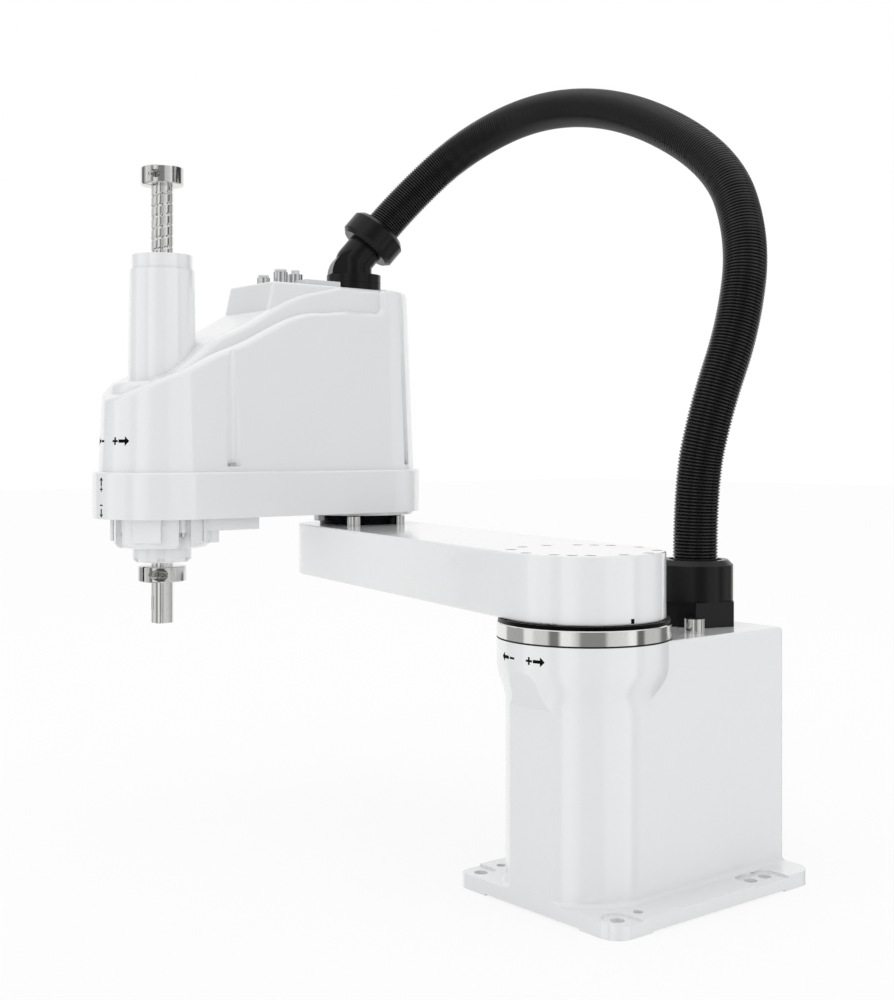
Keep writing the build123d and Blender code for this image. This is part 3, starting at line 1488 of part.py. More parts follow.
elbow_base_z = elbow_seam + gap_clearance
elbow_corner = elbow_plane.origin + Vector(0, 0, elbow_corner_z - cover_top)
elbow_run = Vector(cos(radians(elbow_heading)), sin(radians(elbow_heading)), 0)
elbow_axis = elbow_run * cos(radians(elbow_tilt)) + Vector(0, 0, sin(radians(elbow_tilt)))
elbow_upright = Plane(origin=elbow_corner, z_dir=(0, 0, 1))
elbow_tilted = Plane(origin=elbow_corner, z_dir=elbow_axis)
with BuildPart() as elbow_body:
    with BuildSketch(elbow_plane.offset(elbow_base_z - cover_top)):
        Circle(elbow_flange_radius)
    extrude(amount=elbow_disc_height)
    with BuildSketch(elbow_plane.offset(elbow_base_z - cover_top)):
        Circle(elbow_neck_radius)
    extrude(amount=elbow_corner_z - elbow_base_z)
    with Locations(elbow_upright.location):
        Sphere(elbow_neck_radius)
    with BuildSketch(elbow_tilted):
        Circle(elbow_neck_radius)
    extrude(amount=elbow_pipe_end)
    hood_side = Plane(
        origin=(elbow_corner.X, elbow_corner.Y, hood_centre_z),
        x_dir=-elbow_run,
        z_dir=Vector(0, 0, 1).cross(elbow_run),
    )
    with BuildSketch(hood_side):
        Circle(hood_radius)
        with Locations((0, -hood_radius)):
            Rectangle(4 * hood_radius, 2 * hood_radius, mode=Mode.SUBTRACT)
        with Locations((-hood_radius, 0)):
            Rectangle(2 * hood_radius, 4 * hood_radius, mode=Mode.SUBTRACT)
    extrude(amount=hood_width / 2, both=True)
    with BuildSketch(elbow_plane):
        Circle(elbow_bore_radius)
    extrude(amount=elbow_corner_z - cover_top, mode=Mode.SUBTRACT)
    with Locations(elbow_upright.location):
        Sphere(elbow_bore_radius, mode=Mode.SUBTRACT)
    with BuildSketch(elbow_tilted):
        Circle(elbow_bore_radius)
    extrude(amount=elbow_pipe_end, mode=Mode.SUBTRACT)
elbow_body.part.label = "elbow_body"
export_step(elbow_body.part, "parts/elbow_body.step")

with BuildPart() as ring_nut:
    with BuildSketch(elbow_tilted.offset(ring_nut_start)):
        Circle(ring_nut_radius)
    extrude(amount=ring_nut_end - ring_nut_start)
    chamfer(ring_nut.edges().filter_by(GeomType.CIRCLE), ring_nut_chamfer)
    with BuildSketch(elbow_tilted.offset(ring_nut_start)):
        Circle(elbow_neck_radius + seat_clearance)
    extrude(amount=elbow_pipe_end - ring_nut_start, mode=Mode.SUBTRACT)
    with BuildSketch(elbow_tilted.offset(elbow_pipe_end)):
        Circle(duct_diameter / 2 + duct_bore_clearance)
    extrude(amount=ring_nut_end, mode=Mode.SUBTRACT)
ring_nut.part.label = "elbow_ring_nut"
export_step(ring_nut.part, "parts/elbow_ring_nut.step")


def arc_radii(points, share):
    """Radius of the arc at each inner corner, from the shorter run next to it."""
    corners = [Vector(*point) for point in points]
    radii = []
    for before, corner, after in zip(corners, corners[1:], corners[2:]):
        turn = (corner - before).get_angle(after - corner)
        shorter = min((corner - before).length, (after - corner).length)
        radii.append(share * shorter / tan(radians(turn) / 2))
    return radii


# Duct: a hollow corrugated tube, drawn as its outer and inner diameter
duct_radii = arc_radii(duct_points, duct_arc_share)
print("duct arc radii", [round(radius) for radius in duct_radii])
with BuildPart() as duct:
    with BuildLine() as duct_path:
        FilletPolyline(*duct_points, radius=duct_radii)
    with BuildSketch(Plane(origin=duct_path.line @ 0, z_dir=duct_path.line % 0)):
        Circle(duct_diameter / 2)
        Circle(duct_diameter / 2 - duct_wall, mode=Mode.SUBTRACT)
    sweep()
duct_section = pi * (duct_diameter - duct_wall) * duct_wall
duct_length = sum(edge.length for edge in duct_path.line.edges())
duct_share = duct.part.volume / duct_section / duct_length
print("duct length", round(duct_length), "volume share", round(duct_share, 3))
duct.part.label = "duct"
export_step(duct.part, "parts/duct.step")

# Air fittings on the crest, each with a release collar that presses in
with BuildPart() as air_fittings:
    for place, radius, height in zip(air_fitting_places, air_fitting_radii, air_fitting_heights):
        with BuildSketch(outer_plane(cover_top, *place)):
            Circle(radius)
        extrude(amount=height)
        with BuildSketch(outer_plane(cover_top, *place)):
            Circle(fitting_shank_radius)
        extrude(amount=-fitting_shank_length)
        with BuildSketch(outer_plane(cover_top + height, *place)):
            Circle(radius - fitting_body_wall + running_clearance)
        extrude(amount=-fitting_collar_depth - fitting_collar_rim, mode=Mode.SUBTRACT)
        with BuildSketch(outer_plane(cover_top + height, *place)):
            Circle(fitting_tube_radius)
        extrude(amount=-height - fitting_shank_length, mode=Mode.SUBTRACT)
air_fittings.part.label = "air_fittings"
export_step(air_fittings.part, "parts/air_fittings.step")

fitting_names = ("front_release_collar", "rear_release_collar")
fittings = zip(fitting_names, air_fitting_places, air_fitting_radii, air_fitting_heights)
for name, place, radius, height in fittings:
    with BuildPart() as release_collar:
        with BuildSketch(outer_plane(cover_top + height + fitting_collar_height, *place)):
            Circle(radius - fitting_body_wall + fitting_collar_wall / 2)
        extrude(amount=-fitting_collar_rim)
        with BuildSketch(outer_plane(cover_top + height + fitting_collar_height, *place)):
            Circle(radius - fitting_body_wall)
        extrude(amount=-fitting_collar_height - fitting_collar_depth)
        with BuildSketch(outer_plane(cover_top + height + fitting_collar_height, *place)):
            Circle(fitting_tube_radius)
        extrude(amount=-fitting_collar_height - fitting_collar_depth, mode=Mode.SUBTRACT)
    release_collar.part.label = name
    export_step(release_collar.part, f"parts/{name}.step")

# Brake release button in its guard
with BuildPart() as brake_guard:
    with BuildSketch(outer_plane(cover_top, brake_button_along)):
        Circle(brake_guard_radius)
    extrude(amount=brake_guard_height)
    with BuildSketch(outer_plane(cover_top, brake_button_along)):
        Circle(fitting_shank_radius)
    extrude(amount=-brake_guard_shank)
    with BuildSketch(outer_plane(cover_top + brake_guard_height, brake_button_along)):
        Circle(brake_button_radius + running_clearance)
    extrude(amount=-brake_guard_height, mode=Mode.SUBTRACT)
brake_guard.part.label = "brake_button_guard"
export_step(brake_guard.part, "parts/brake_button_guard.step")

with BuildPart() as brake_button:
    with BuildSketch(outer_plane(cover_top + brake_guard_height + brake_button_proud, brake_button_along)):
        Circle(brake_button_radius)
    extrude(amount=-brake_button_length)
brake_button.part.label = "brake_release_button"
export_step(brake_button.part, "parts/brake_release_button.step")

# Blanking plate beside the crest fittings
with BuildPart() as blanking_plate:
    with BuildSketch(outer_plane(cover_top, plate_along, plate_across)):
        RectangleRounded(plate_length, plate_width, fitting_collar_rim)
    extrude(amount=plate_thickness)
blanking_plate.part.label = "blanking_plate"
export_step(blanking_plate.part, "parts/blanking_plate.step")
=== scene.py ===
import json
import math

import bmesh
import bpy
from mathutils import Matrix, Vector


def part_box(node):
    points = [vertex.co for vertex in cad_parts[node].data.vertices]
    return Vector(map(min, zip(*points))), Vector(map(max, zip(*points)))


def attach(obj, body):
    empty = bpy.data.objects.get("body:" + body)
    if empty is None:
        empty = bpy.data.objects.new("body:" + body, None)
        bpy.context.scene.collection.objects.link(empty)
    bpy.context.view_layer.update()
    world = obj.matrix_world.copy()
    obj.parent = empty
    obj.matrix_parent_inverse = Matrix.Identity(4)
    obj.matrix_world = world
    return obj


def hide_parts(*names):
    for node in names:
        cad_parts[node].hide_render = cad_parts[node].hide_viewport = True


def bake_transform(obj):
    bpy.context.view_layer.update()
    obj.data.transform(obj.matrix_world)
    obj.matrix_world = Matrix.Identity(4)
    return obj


# Four-axis arm robot in metres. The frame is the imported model; this script gives it its
# surfaces, its corrugated duct, the thread on its shaft, its direction signs, the room and
# the camera.

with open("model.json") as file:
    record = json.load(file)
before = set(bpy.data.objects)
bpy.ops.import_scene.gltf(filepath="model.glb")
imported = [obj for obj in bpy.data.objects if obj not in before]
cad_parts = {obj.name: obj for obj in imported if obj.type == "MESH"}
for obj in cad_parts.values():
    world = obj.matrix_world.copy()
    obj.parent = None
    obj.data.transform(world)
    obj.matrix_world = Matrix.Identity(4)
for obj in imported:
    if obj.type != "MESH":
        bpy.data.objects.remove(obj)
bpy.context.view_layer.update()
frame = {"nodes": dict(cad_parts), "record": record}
mm = 0.001

# Corrugated duct, along a smooth line through the route's points
duct_diameter = 44.4 * mm
duct_rib_pitch = 3.25 * mm
duct_rib_depth = 1.8 * mm
duct_rib_steps = 6
duct_segments = 40
route_resolution = 24
route_order = 3

# Splined screw shaft. Headings are in degrees: close together in a groove, wider on the wall
# between two grooves.
shaft_radius = 12.5 * mm
shaft_bore_radius = 6.0 * mm
shaft_chamfer = 0.6 * mm
shaft_step = 1.0 * mm
shaft_edge = 0.01 * mm
thread_start = 300 * mm
thread_pitch = 12.4 * mm
thread_width = 2.6 * mm
thread_depth = 0.9 * mm
thread_phase = 0.747
spline_count = 6
spline_heading = 1.5
spline_radius = 1.6 * mm
spline_reach = 0.8 * mm
spline_headings = (-5.6, -4.0, -2.0, 0.0, 2.0, 4.0, 5.6)
wall_headings = (6.2, 9.0, 13.5, 18.0, 24.0, 30.0, 36.0, 42.0, 46.5, 51.0, 53.8)
flat_bottom = 235 * mm
flat_top = 251 * mm
flat_depth = 0.35 * mm
relief_bottom = 266 * mm
relief_top = 268 * mm
relief_depth = 0.5 * mm

# Printed signs for the way each axis turns or slides: arrows with plus and minus. A place is a
# heading in degrees from +X, a height and a scale.
column_sign_place = (0.25, 229.2 * mm, 1.0)
cover_sign_place = (3.05, 425.6 * mm, 1.2)
tray_sign_place = (3.5, 363.5 * mm, 0.79)
zero_tick_heading = 79.8
zero_tick_height = 265.2 * mm
zero_tick_width = 3.6 * mm
zero_tick_length = 4.4 * mm
column_radius = 81.2 * mm
tray_tip_radius = 77.3 * mm
cover_tip_radius = 70.5 * mm
cover_foot = 391.4 * mm
cover_draft = math.radians(2.4)
arm_tip_radius = 76.0 * mm
print_proud = 0.05 * mm
print_sunk = 0.2 * mm
sign_stroke = 1.9 * mm
sign_size = 7.0 * mm
sign_step = 2.0 * mm
sign_edge = 0.05 * mm
arrow_tip = 28.1 * mm
arrow_tail = 16.0 * mm
arrow_head = 4.5 * mm
arrow_head_width = 8.8 * mm
arrow_head_steps = 4
arrow_point_width = 0.02
arrow_stroke = 3.0 * mm
minus_middle = -10.8 * mm
plus_middle = 11.5 * mm

# Route of the duct, from the elbow to the gland on the base
duct_points = (
    (-0.133144, -0.499109, 0.688922),
    (-0.162145, -0.485586, 0.727328),
    (-0.216, -0.429, 0.798),
    (-0.245, -0.318, 0.830),
    (-0.235, -0.164, 0.799),
    (-0.226, -0.023, 0.718),
    (-0.211, 0.023, 0.629),
    (-0.191, 0.026, 0.540),
    (-0.165, 0.013, 0.458),
    (-0.156, 0.0, 0.381),
    (-0.156, 0.0, 0.3035),
)

# Camera as solved from the edges seen in the photograph
camera_place = (0.94715, 0.95509, 0.42120)
camera_direction = (-0.63372, -0.77356, 0.0)
camera_focal_px = 1438.39
picture_height_px = 1000.0
horizon_px = 445.09
sensor_width = 36.0

# Room: an even light tent, two soft lamps, and the tones of the tent's screens that reflections
# show, by heading in degrees from +X
floor_half = 12.0
floor_glow = 0.8
tent_strength = 0.97
tent_light = 1.0
ceiling_light = 0.96
screen_top = 0.45
ceiling_start = 0.8
lamp_aim = (0.0, -0.35, 0.4)
key_lamp_place = (2.2, -0.6, 1.7)
key_lamp_size = 1.6
key_lamp_watts = 1.0
top_lamp_place = (-0.3, -0.6, 2.6)
top_lamp_size = 1.4
top_lamp_watts = 3.0
tent_tones = (
    (-180, 0.2),
    (-177, 0.2),
    (-173, 1.0),
    (-78, 1.0),
    (-74, 0.45),
    (-41, 0.42),
    (-38, 0.95),
    (-26, 0.95),
    (-22, 0.72),
    (-3, 0.7),
    (1, 0.2),
    (12, 0.2),
    (16, 1.0),
    (28, 0.95),
    (38, 0.6),
    (42, 0.27),
    (72, 0.27),
    (77, 0.7),
    (102, 0.8),
    (107, 1.0),
    (116, 1.0),
    (119, 0.15),
    (128, 0.15),
    (132, 0.6),
    (158, 0.6),
    (168, 0.2),
    (180, 0.2),
)

# Shading
sharp_edge_angle = math.radians(32)
tone_low = 0.3
tone_high = 0.7
tone_spread = 0.3
tone_detail = 4.0
grain_detail = 3.0
coat_grain = 1.5 * mm
coat_bump = 0.015
plastic_ior = 1.5
lacquer_ior = 1.7
lacquer_roughness = 0.1
# Heights of the band painted black on the first-axis ring: painted shade of the dark gap at its edge
gap_shade_bottom = 243.0 * mm
gap_shade_top = 244.6 * mm
white = (1.0, 1.0, 1.0, 1.0)


def linear(hex_colour):
    """sRGB hex to linear RGBA."""
    channels = [int(hex_colour[i : i + 2], 16) / 255 for i in (1, 3, 5)]
    lit = [c / 12.92 if c <= 0.04045 else ((c + 0.055) / 1.055) ** 2.4 for c in channels]
    return (*lit, 1.0)


def add_node(tree, kind, inputs=None, **settings):
    """Adds a node with its settings, and sets or links its inputs."""
    node = tree.nodes.new(kind)
    for name, value in settings.items():
        setattr(node, name, value)
    for socket, value in (inputs or {}).items():
        if isinstance(value, bpy.types.NodeSocket):
            tree.links.new(value, node.inputs[socket])
        else:
            node.inputs[socket].default_value = value
    return node


def new_material(name, inputs):
    """A material with one Principled shader; returns the material, its tree and the shader."""
    material = bpy.data.materials.new(name)
    material.use_nodes = True
    tree = material.node_tree
    tree.nodes.clear()
    shader = add_node(tree, "ShaderNodeBsdfPrincipled", inputs)
    add_node(tree, "ShaderNodeOutputMaterial", {"Surface": shader.outputs["BSDF"]})
    return material, tree, shader


def speckled(tree, shader, first, second, size, bump):
    """Colour that wanders between two tones, and a fine bump, both on a grain of this size."""
    place = add_node(tree, "ShaderNodeTexCoord")
    wide = add_node(
        tree,
        "ShaderNodeTexNoise",
        {"Vector": place.outputs["Object"], "Scale": tone_spread / size, "Detail": tone_detail},
    )
    ramp = add_node(tree, "ShaderNodeValToRGB", {"Fac": wide.outputs["Fac"]})
    ramp.color_ramp.elements[0].position = tone_low
    ramp.color_ramp.elements[0].color = linear(first)
    ramp.color_ramp.elements[1].position = tone_high
    ramp.color_ramp.elements[1].color = linear(second)
    tree.links.new(ramp.outputs["Color"], shader.inputs["Base Color"])
    fine = add_node(
        tree,
        "ShaderNodeTexNoise",
        {"Vector": place.outputs["Object"], "Scale": 1.0 / size, "Detail": grain_detail},
    )
    relief = add_node(
        tree, "ShaderNodeBump", {"Height": fine.outputs["Fac"], "Strength": bump, "Distance": size}
    )
    tree.links.new(relief.outputs["Normal"], shader.inputs["Normal"])


def powder_coat(name, first, second, roughness):
    """Paint or powder coat under clear lacquer: satin, with a faint orange peel about 1.5 mm across."""
    material, tree, shader = new_material(
        name,
        {
            "Roughness": roughness,
            "IOR": plastic_ior,
            "Coat Weight": 1.0,
            "Coat IOR": lacquer_ior,
            "Coat Roughness": lacquer_roughness,
        },
    )
    speckled(tree, shader, first, second, coat_grain, coat_bump)
    return material


def moulded(name, first, second, roughness, grain, bump, shine=0.5):
    """Plastic or rubber out of a mould or die: even colour, a fine spark-eroded grain."""
    material, tree, shader = new_material(
        name, {"Roughness": roughness, "IOR": plastic_ior, "Specular IOR Level": shine}
    )
    speckled(tree, shader, first, second, grain, bump)
    return material


def metal(name, colour, second, roughness, grain, bump):
    """Bare or plated metal with a fine grain that breaks up its reflections."""
    material, tree, shader = new_material(name, {"Roughness": roughness, "Metallic": 1.0})
    speckled(tree, shader, colour, second, grain, bump)
    return material


def add_painted_gap_shade(material, bottom, top):
    """The same metal with a band painted black between two heights: painted shade standing in for the dark
    gap at the ring's edge.
    """
    tree = material.node_tree
    metal_shader = next(node for node in tree.nodes if node.type == "BSDF_PRINCIPLED")
    output = next(node for node in tree.nodes if node.type == "OUTPUT_MATERIAL")
    place = add_node(tree, "ShaderNodeTexCoord")
    height = add_node(tree, "ShaderNodeSeparateXYZ", {"Vector": place.outputs["Object"]})
    above = add_node(tree, "ShaderNodeMath", {0: height.outputs["Z"], 1: bottom}, operation="GREATER_THAN")
    below = add_node(tree, "ShaderNodeMath", {0: height.outputs["Z"], 1: top}, operation="LESS_THAN")
    shade_band = add_node(
        tree, "ShaderNodeMath", {0: above.outputs[0], 1: below.outputs[0]}, operation="MULTIPLY"
    )
    shade_black = add_node(
        tree, "ShaderNodeBsdfPrincipled", {"Base Color": linear("#0C0C0C"), "Roughness": 0.6}
    )
    mixed = add_node(
        tree, "ShaderNodeMixShader", {0: shade_band.outputs[0], 1: metal_shader.outputs[0], 2: shade_black.outputs[0]}
    )
    tree.links.new(mixed.outputs["Shader"], output.inputs["Surface"])
    return material


cover_white = powder_coat("lacquered_abs_cover", "#F0F1F2", "#EFF0F1", 0.3)
casting_white = powder_coat("powder_coated_aluminium", "#EFF0F1", "#EEEFF0", 0.34)
panel_grey = powder_coat("powder_coated_sheet", "#DDDFE0", "#DBDDDE", 0.4)
black_anodised = metal("black_anodised_aluminium", "#161618", "#121214", 0.38, 0.6 * mm, 0.04)
turned_aluminium = metal("turned_aluminium", "#D9DADC", "#D0D1D3", 0.2, 0.5 * mm, 0.02)
polished_ring = metal("polished_steel_ring", "#EDEDEB", "#E8E8E6", 0.1, 0.5 * mm, 0.01)
ground_steel = metal("ground_bearing_steel", "#E6E6E4", "#DFDFDD", 0.07, 0.4 * mm, 0.01)
plated_steel = metal("nickel_plated_steel", "#DEDEDC", "#D6D6D4", 0.12, 0.5 * mm, 0.015)
black_nylon = moulded("glass_filled_nylon", "#0C0D0D", "#0A0B0B", 0.28, 0.7 * mm, 0.02, 0.3)
duct_black = moulded("extruded_polyamide", "#1A1A1B", "#171718", 0.26, 0.8 * mm, 0.02)
belt_black = moulded("neoprene_belt", "#151515", "#101010", 0.7, 0.8 * mm, 0.2)
connector_black = moulded("moulded_connector_pbt", "#1A1A1B", "#141415", 0.5, 0.6 * mm, 0.08)
fitting_white = metal("nickel_plated_brass", "#E2E3E4", "#DCDDDE", 0.22, 0.5 * mm, 0.02)
ring_light = moulded("acetal_ring", "#E6E7E8", "#DFE0E1", 0.35, 0.6 * mm, 0.04)
arrow_black = moulded("printed_vinyl", "#050505", "#080808", 0.7, 0.6 * mm, 0.02, 0.1)
# Steel darkened to stand in for the shade in recessed screw holes: painted shade
shade_darkened_steel = metal("shade_darkened_steel", "#3A3A3B", "#303031", 0.3, 0.5 * mm, 0.02)

slot_materials = {
    "white_casting": casting_white,
    "white_moulding": cover_white,
    "light_panel": panel_grey,
    "black_anodised": black_anodised,
    "machined_ring": polished_ring,
    "motor_black": black_anodised,
    "encoder_black": connector_black,
    "shaft_steel": ground_steel,
    "collar_steel": plated_steel,
    "screw_steel": plated_steel,
    "post_steel": plated_steel,
    "seal_metal": turned_aluminium,
    "pulley_aluminium": turned_aluminium,
    "belt_rubber": belt_black,
    "black_nylon": black_nylon,
    "duct_plastic": duct_black,
    "fitting_metal": fitting_white,
    "fitting_plastic": ring_light,
    "connector_black": connector_black,
}

# Pieces that have another finish than the rest of their slot
node_materials = {
    # The first-axis ring carries a band painted black: painted shade of the dark gap at its edge
    "first_axis_reducer": add_painted_gap_shade(polished_ring, gap_shade_bottom, gap_shade_top),
    # The first-axis flange screws are darkened: painted shade of their recessed holes
    "first_axis_flange_screws": shade_darkened_steel,
    "second_axis_reducer": black_anodised,
    "motor_plate": turned_aluminium,
    "seal_cap": casting_white,
}

for subpart in frame["record"]["subparts"]:
    node = frame["nodes"][subpart["node"]]
    for piece_slot in node.material_slots:
        piece_slot.material = node_materials.get(subpart["node"], slot_materials[subpart["material_slot"]])


def mesh_piece(name, vertices, faces, material):
    """A mesh object at the origin with outward normals."""
    mesh = bpy.data.meshes.new(name)
    mesh.from_pydata(vertices, [], faces)
    shape = bmesh.new()
    shape.from_mesh(mesh)
    bmesh.ops.remove_doubles(shape, verts=shape.verts, dist=1e-7)
    bmesh.ops.recalc_face_normals(shape, faces=shape.faces)
    shape.to_mesh(mesh)
    shape.free()
    mesh.materials.append(material)
    piece = bpy.data.objects.new(name, mesh)
    bpy.context.scene.collection.objects.link(piece)
    return piece


def smooth_round(piece):
    """Smooth shading over round stretches, with real edges kept sharp."""
    for face in piece.data.polygons:
        face.use_smooth = True
    piece.data.set_sharp_from_angle(angle=sharp_edge_angle)


def route_points(points):
    """The smooth line that a NURBS spline draws from its control points."""
    curve = bpy.data.curves.new("duct_route", "CURVE")
    curve.dimensions = "3D"
    curve.resolution_u = route_resolution
    spline = curve.splines.new("NURBS")
    spline.points.add(len(points) - 1)
    for point, place in zip(spline.points, points):
        point.co = (*place, 1.0)
    spline.order_u = route_order
    spline.use_endpoint_u = True
    holder = bpy.data.objects.new("duct_route", curve)
    bpy.context.scene.collection.objects.link(holder)
    bpy.context.view_layer.update()
    line = bpy.data.meshes.new_from_object(holder)
    found = [vertex.co.copy() for vertex in line.vertices]
    bpy.data.objects.remove(holder)
    bpy.data.meshes.remove(line)
    return found


def even_points(points, step):
    """Points at even steps along a line."""
    lengths = [(b - a).length for a, b in zip(points, points[1:])]
    total = sum(lengths)
    count = max(2, round(total / step))
    spaced = []
    run, passed = 0, 0.0
    for k in range(count + 1):
        target = total * k / count
        while run < len(lengths) - 1 and passed + lengths[run] < target:
            passed += lengths[run]
            run += 1
        share = (target - passed) / lengths[run]
        spaced.append(points[run].lerp(points[run + 1], min(max(share, 0.0), 1.0)))
    return spaced, total


def corrugated_tube(name, points, material):
    """A tube whose wall has a flat crest and a narrow valley for each rib."""
    centres, total = even_points(points, duct_rib_pitch / duct_rib_steps)
    side = Vector((0.0, 0.0, 1.0)).cross(centres[1] - centres[0]).normalized()
    vertices, faces = [], []
    for k, centre in enumerate(centres):
        ahead = (centres[min(k + 1, len(centres) - 1)] - centres[max(k - 1, 0)]).normalized()
        side = (side - ahead * side.dot(ahead)).normalized()
        up = ahead.cross(side)
        phase = 2 * math.pi * k / duct_rib_steps
        radius = duct_diameter / 2 - duct_rib_depth * (0.5 - 0.5 * math.cos(phase)) ** 3
        for j in range(duct_segments):
            angle = 2 * math.pi * j / duct_segments
            vertices.append(centre + side * radius * math.cos(angle) + up * radius * math.sin(angle))
    for k in range(len(centres) - 1):
        for j in range(duct_segments):
            following = (j + 1) % duct_segments
            low, high = k * duct_segments, (k + 1) * duct_segments
            faces.append((low + j, low + following, high + following, high + j))
    faces.append(tuple(range(duct_segments)))
    faces.append(tuple(range(len(vertices) - duct_segments, len(vertices))))
    return mesh_piece(name, vertices, faces, material), total


duct_line = route_points(duct_points)
duct, duct_length = corrugated_tube("corrugated_duct", duct_line, duct_black)
smooth_round(duct)
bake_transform(duct)
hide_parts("duct")


def shaft_surface(angle, z, bottom):
    """Radius of the shaft at an angle and a height, with its grooves, thread, flat and relief."""
    radius = shaft_radius - max(0.0, shaft_chamfer - (z - bottom))
    along = (z / thread_pitch - angle / (2 * math.pi) - thread_phase) % 1.0
    off = min(along, 1.0 - along) * thread_pitch / (thread_width / 2)
    if z > thread_start and off < 1:
        radius -= thread_depth * math.sqrt(1 - off * off)
    turn = (angle - math.radians(spline_heading) + math.pi) % (2 * math.pi) - math.pi
    if flat_bottom <= z <= flat_top and abs(turn) < math.pi / 4:
        radius = min(radius, (shaft_radius - flat_depth) / math.cos(turn))
    if relief_bottom < z < relief_top:
        radius = min(radius, shaft_radius - relief_depth)
    spacing = 2 * math.pi / spline_count
    across = (turn + spacing / 2) % spacing - spacing / 2
    groove_centre = shaft_radius + spline_reach
    room = spline_radius**2 - (groove_centre * math.sin(across)) ** 2
    if room > 0:
        radius = min(radius, groove_centre * math.cos(across) - math.sqrt(room))
    return radius


def threaded_shaft(name, material):
    """The splined shaft with its helical ball groove above the lower end."""
    low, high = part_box("splined_shaft")
    centre_x, centre_y = (low[0] + high[0]) / 2, (low[1] + high[1]) / 2
    spacing = 360 / spline_count
    steps = spline_headings + wall_headings
    angles = [
        math.radians(spline_heading + spacing * k + step) for k in range(spline_count) for step in steps
    ]
    heights = [low[2], low[2] + shaft_chamfer]
    heights += [flat_bottom - shaft_edge, flat_bottom, flat_top, flat_top + shaft_edge]
    heights += [relief_bottom, relief_bottom + shaft_edge, relief_top - shaft_edge, relief_top]
    heights.append(thread_start)
    rings = round((high[2] - thread_start) / shaft_step)
    heights += [thread_start + (high[2] - thread_start) * k / rings for k in range(1, rings + 1)]
    count = len(angles)
    vertices, faces = [], []
    for z in heights:
        for angle in angles:
            radius = shaft_surface(angle, z, low[2])
            vertices.append((centre_x + radius * math.cos(angle), centre_y + radius * math.sin(angle), z))
    for k in range(len(heights) - 1):
        for j in range(count):
            following = (j + 1) % count
            below, above = k * count, (k + 1) * count
            faces.append((below + j, below + following, above + following, above + j))
    inner = len(vertices)
    for z in (low[2], high[2]):
        for angle in angles:
            place_x = centre_x + shaft_bore_radius * math.cos(angle)
            place_y = centre_y + shaft_bore_radius * math.sin(angle)
            vertices.append((place_x, place_y, z))
    top = (len(heights) - 1) * count
    for j in range(count):
        following = (j + 1) % count
        faces.append((j, following, inner + following, inner + j))
        faces.append((top + j, top + following, inner + count + following, inner + count + j))
        faces.append((inner + j, inner + following, inner + count + following, inner + count + j))
    return mesh_piece(name, vertices, faces, material)


shaft = threaded_shaft("threaded_shaft", ground_steel)
smooth_round(shaft)
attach(shaft, "shaft_body")
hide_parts("splined_shaft")


def wrapped_strip(name, axis, radius_at, heading, height, outlines):
    """A thin print on a round wall; each outline is a row of point pairs in metres across and up."""
    vertices, faces = [], []
    for pairs in outlines:
        first = len(vertices)
        for pair in pairs:
            for across, up in pair:
                z = height + up
                angle = math.radians(heading) + across / radius_at(z)
                for radius in (radius_at(z) + print_proud, radius_at(z) - print_sunk):
                    place_x = axis[0] + radius * math.cos(angle)
                    place_y = axis[1] + radius * math.sin(angle)
                    vertices.append((place_x, place_y, z))
        for k in range(len(pairs) - 1):
            here, there = first + 4 * k, first + 4 * k + 4
            for one, two in ((0, 2), (2, 3), (3, 1), (1, 0)):
                faces.append((here + one, here + two, there + two, there + one))
        last = first + 4 * (len(pairs) - 1)
        faces.append((first, first + 1, first + 3, first + 2))
        faces.append((last, last + 1, last + 3, last + 2))
    return mesh_piece(name, vertices, faces, arrow_black)


def bar_pairs(start, end, half):
    """Point pairs along a straight stroke, close enough together to follow the wall."""
    steps = max(1, round((end - start) / sign_step))
    stops = [start + (end - start) * k / steps for k in range(steps + 1)]
    return [((stop, -half), (stop, half)) for stop in stops]


def arrow_pairs(tail, tip):
    """Point pairs of an arrow that points away from the middle of its sign."""
    neck = tip - arrow_head
    head = []
    for k in range(arrow_head_steps + 1):
        share = k / arrow_head_steps
        half = arrow_head_width / 2 * (1 - (1 - arrow_point_width) * share)
        stop = neck - 2 * sign_edge + (arrow_head + 2 * sign_edge) * share
        head.append(((stop, -half), (stop, half)))
    return bar_pairs(tail, neck - 4 * sign_edge, arrow_stroke / 2) + head


def plus_pairs(middle):
    """Point pairs of a plus sign."""
    reach, half = sign_size / 2, sign_stroke / 2
    left = bar_pairs(middle - reach, middle - half - sign_edge, half)
    post = bar_pairs(middle - half, middle + half, reach)
    return left + post + bar_pairs(middle + half + sign_edge, middle + reach, half)


def direction_sign(name, body, axis, radius_at, place, upright):
    """Two arrows away from each other, with a minus and a plus between them."""
    heading, height, scale = place
    forward = arrow_pairs(arrow_tail, arrow_tip)
    backward = [((-ax, ay), (-bx, by)) for (ax, ay), (bx, by) in forward]
    plus = plus_pairs(plus_middle)
    minus = bar_pairs(minus_middle - sign_size / 2, minus_middle + sign_size / 2, sign_stroke / 2)
    if upright:
        minus = bar_pairs(minus_middle - sign_stroke / 2, minus_middle + sign_stroke / 2, sign_size / 2)
    outlines = []
    for pairs in (forward, backward, plus, minus):
        scaled = [((scale * ax, scale * ay), (scale * bx, scale * by)) for (ax, ay), (bx, by) in pairs]
        if upright:
            scaled = [((ay, ax), (by, bx)) for (ax, ay), (bx, by) in scaled]
        outlines.append(scaled)
    sign = wrapped_strip(name, axis, radius_at, heading, height, outlines)
    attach(sign, body)


def cover_radius(z):
    """Radius of the tapered front of the cover at a height."""
    return cover_tip_radius - (z - cover_foot) * math.tan(cover_draft)


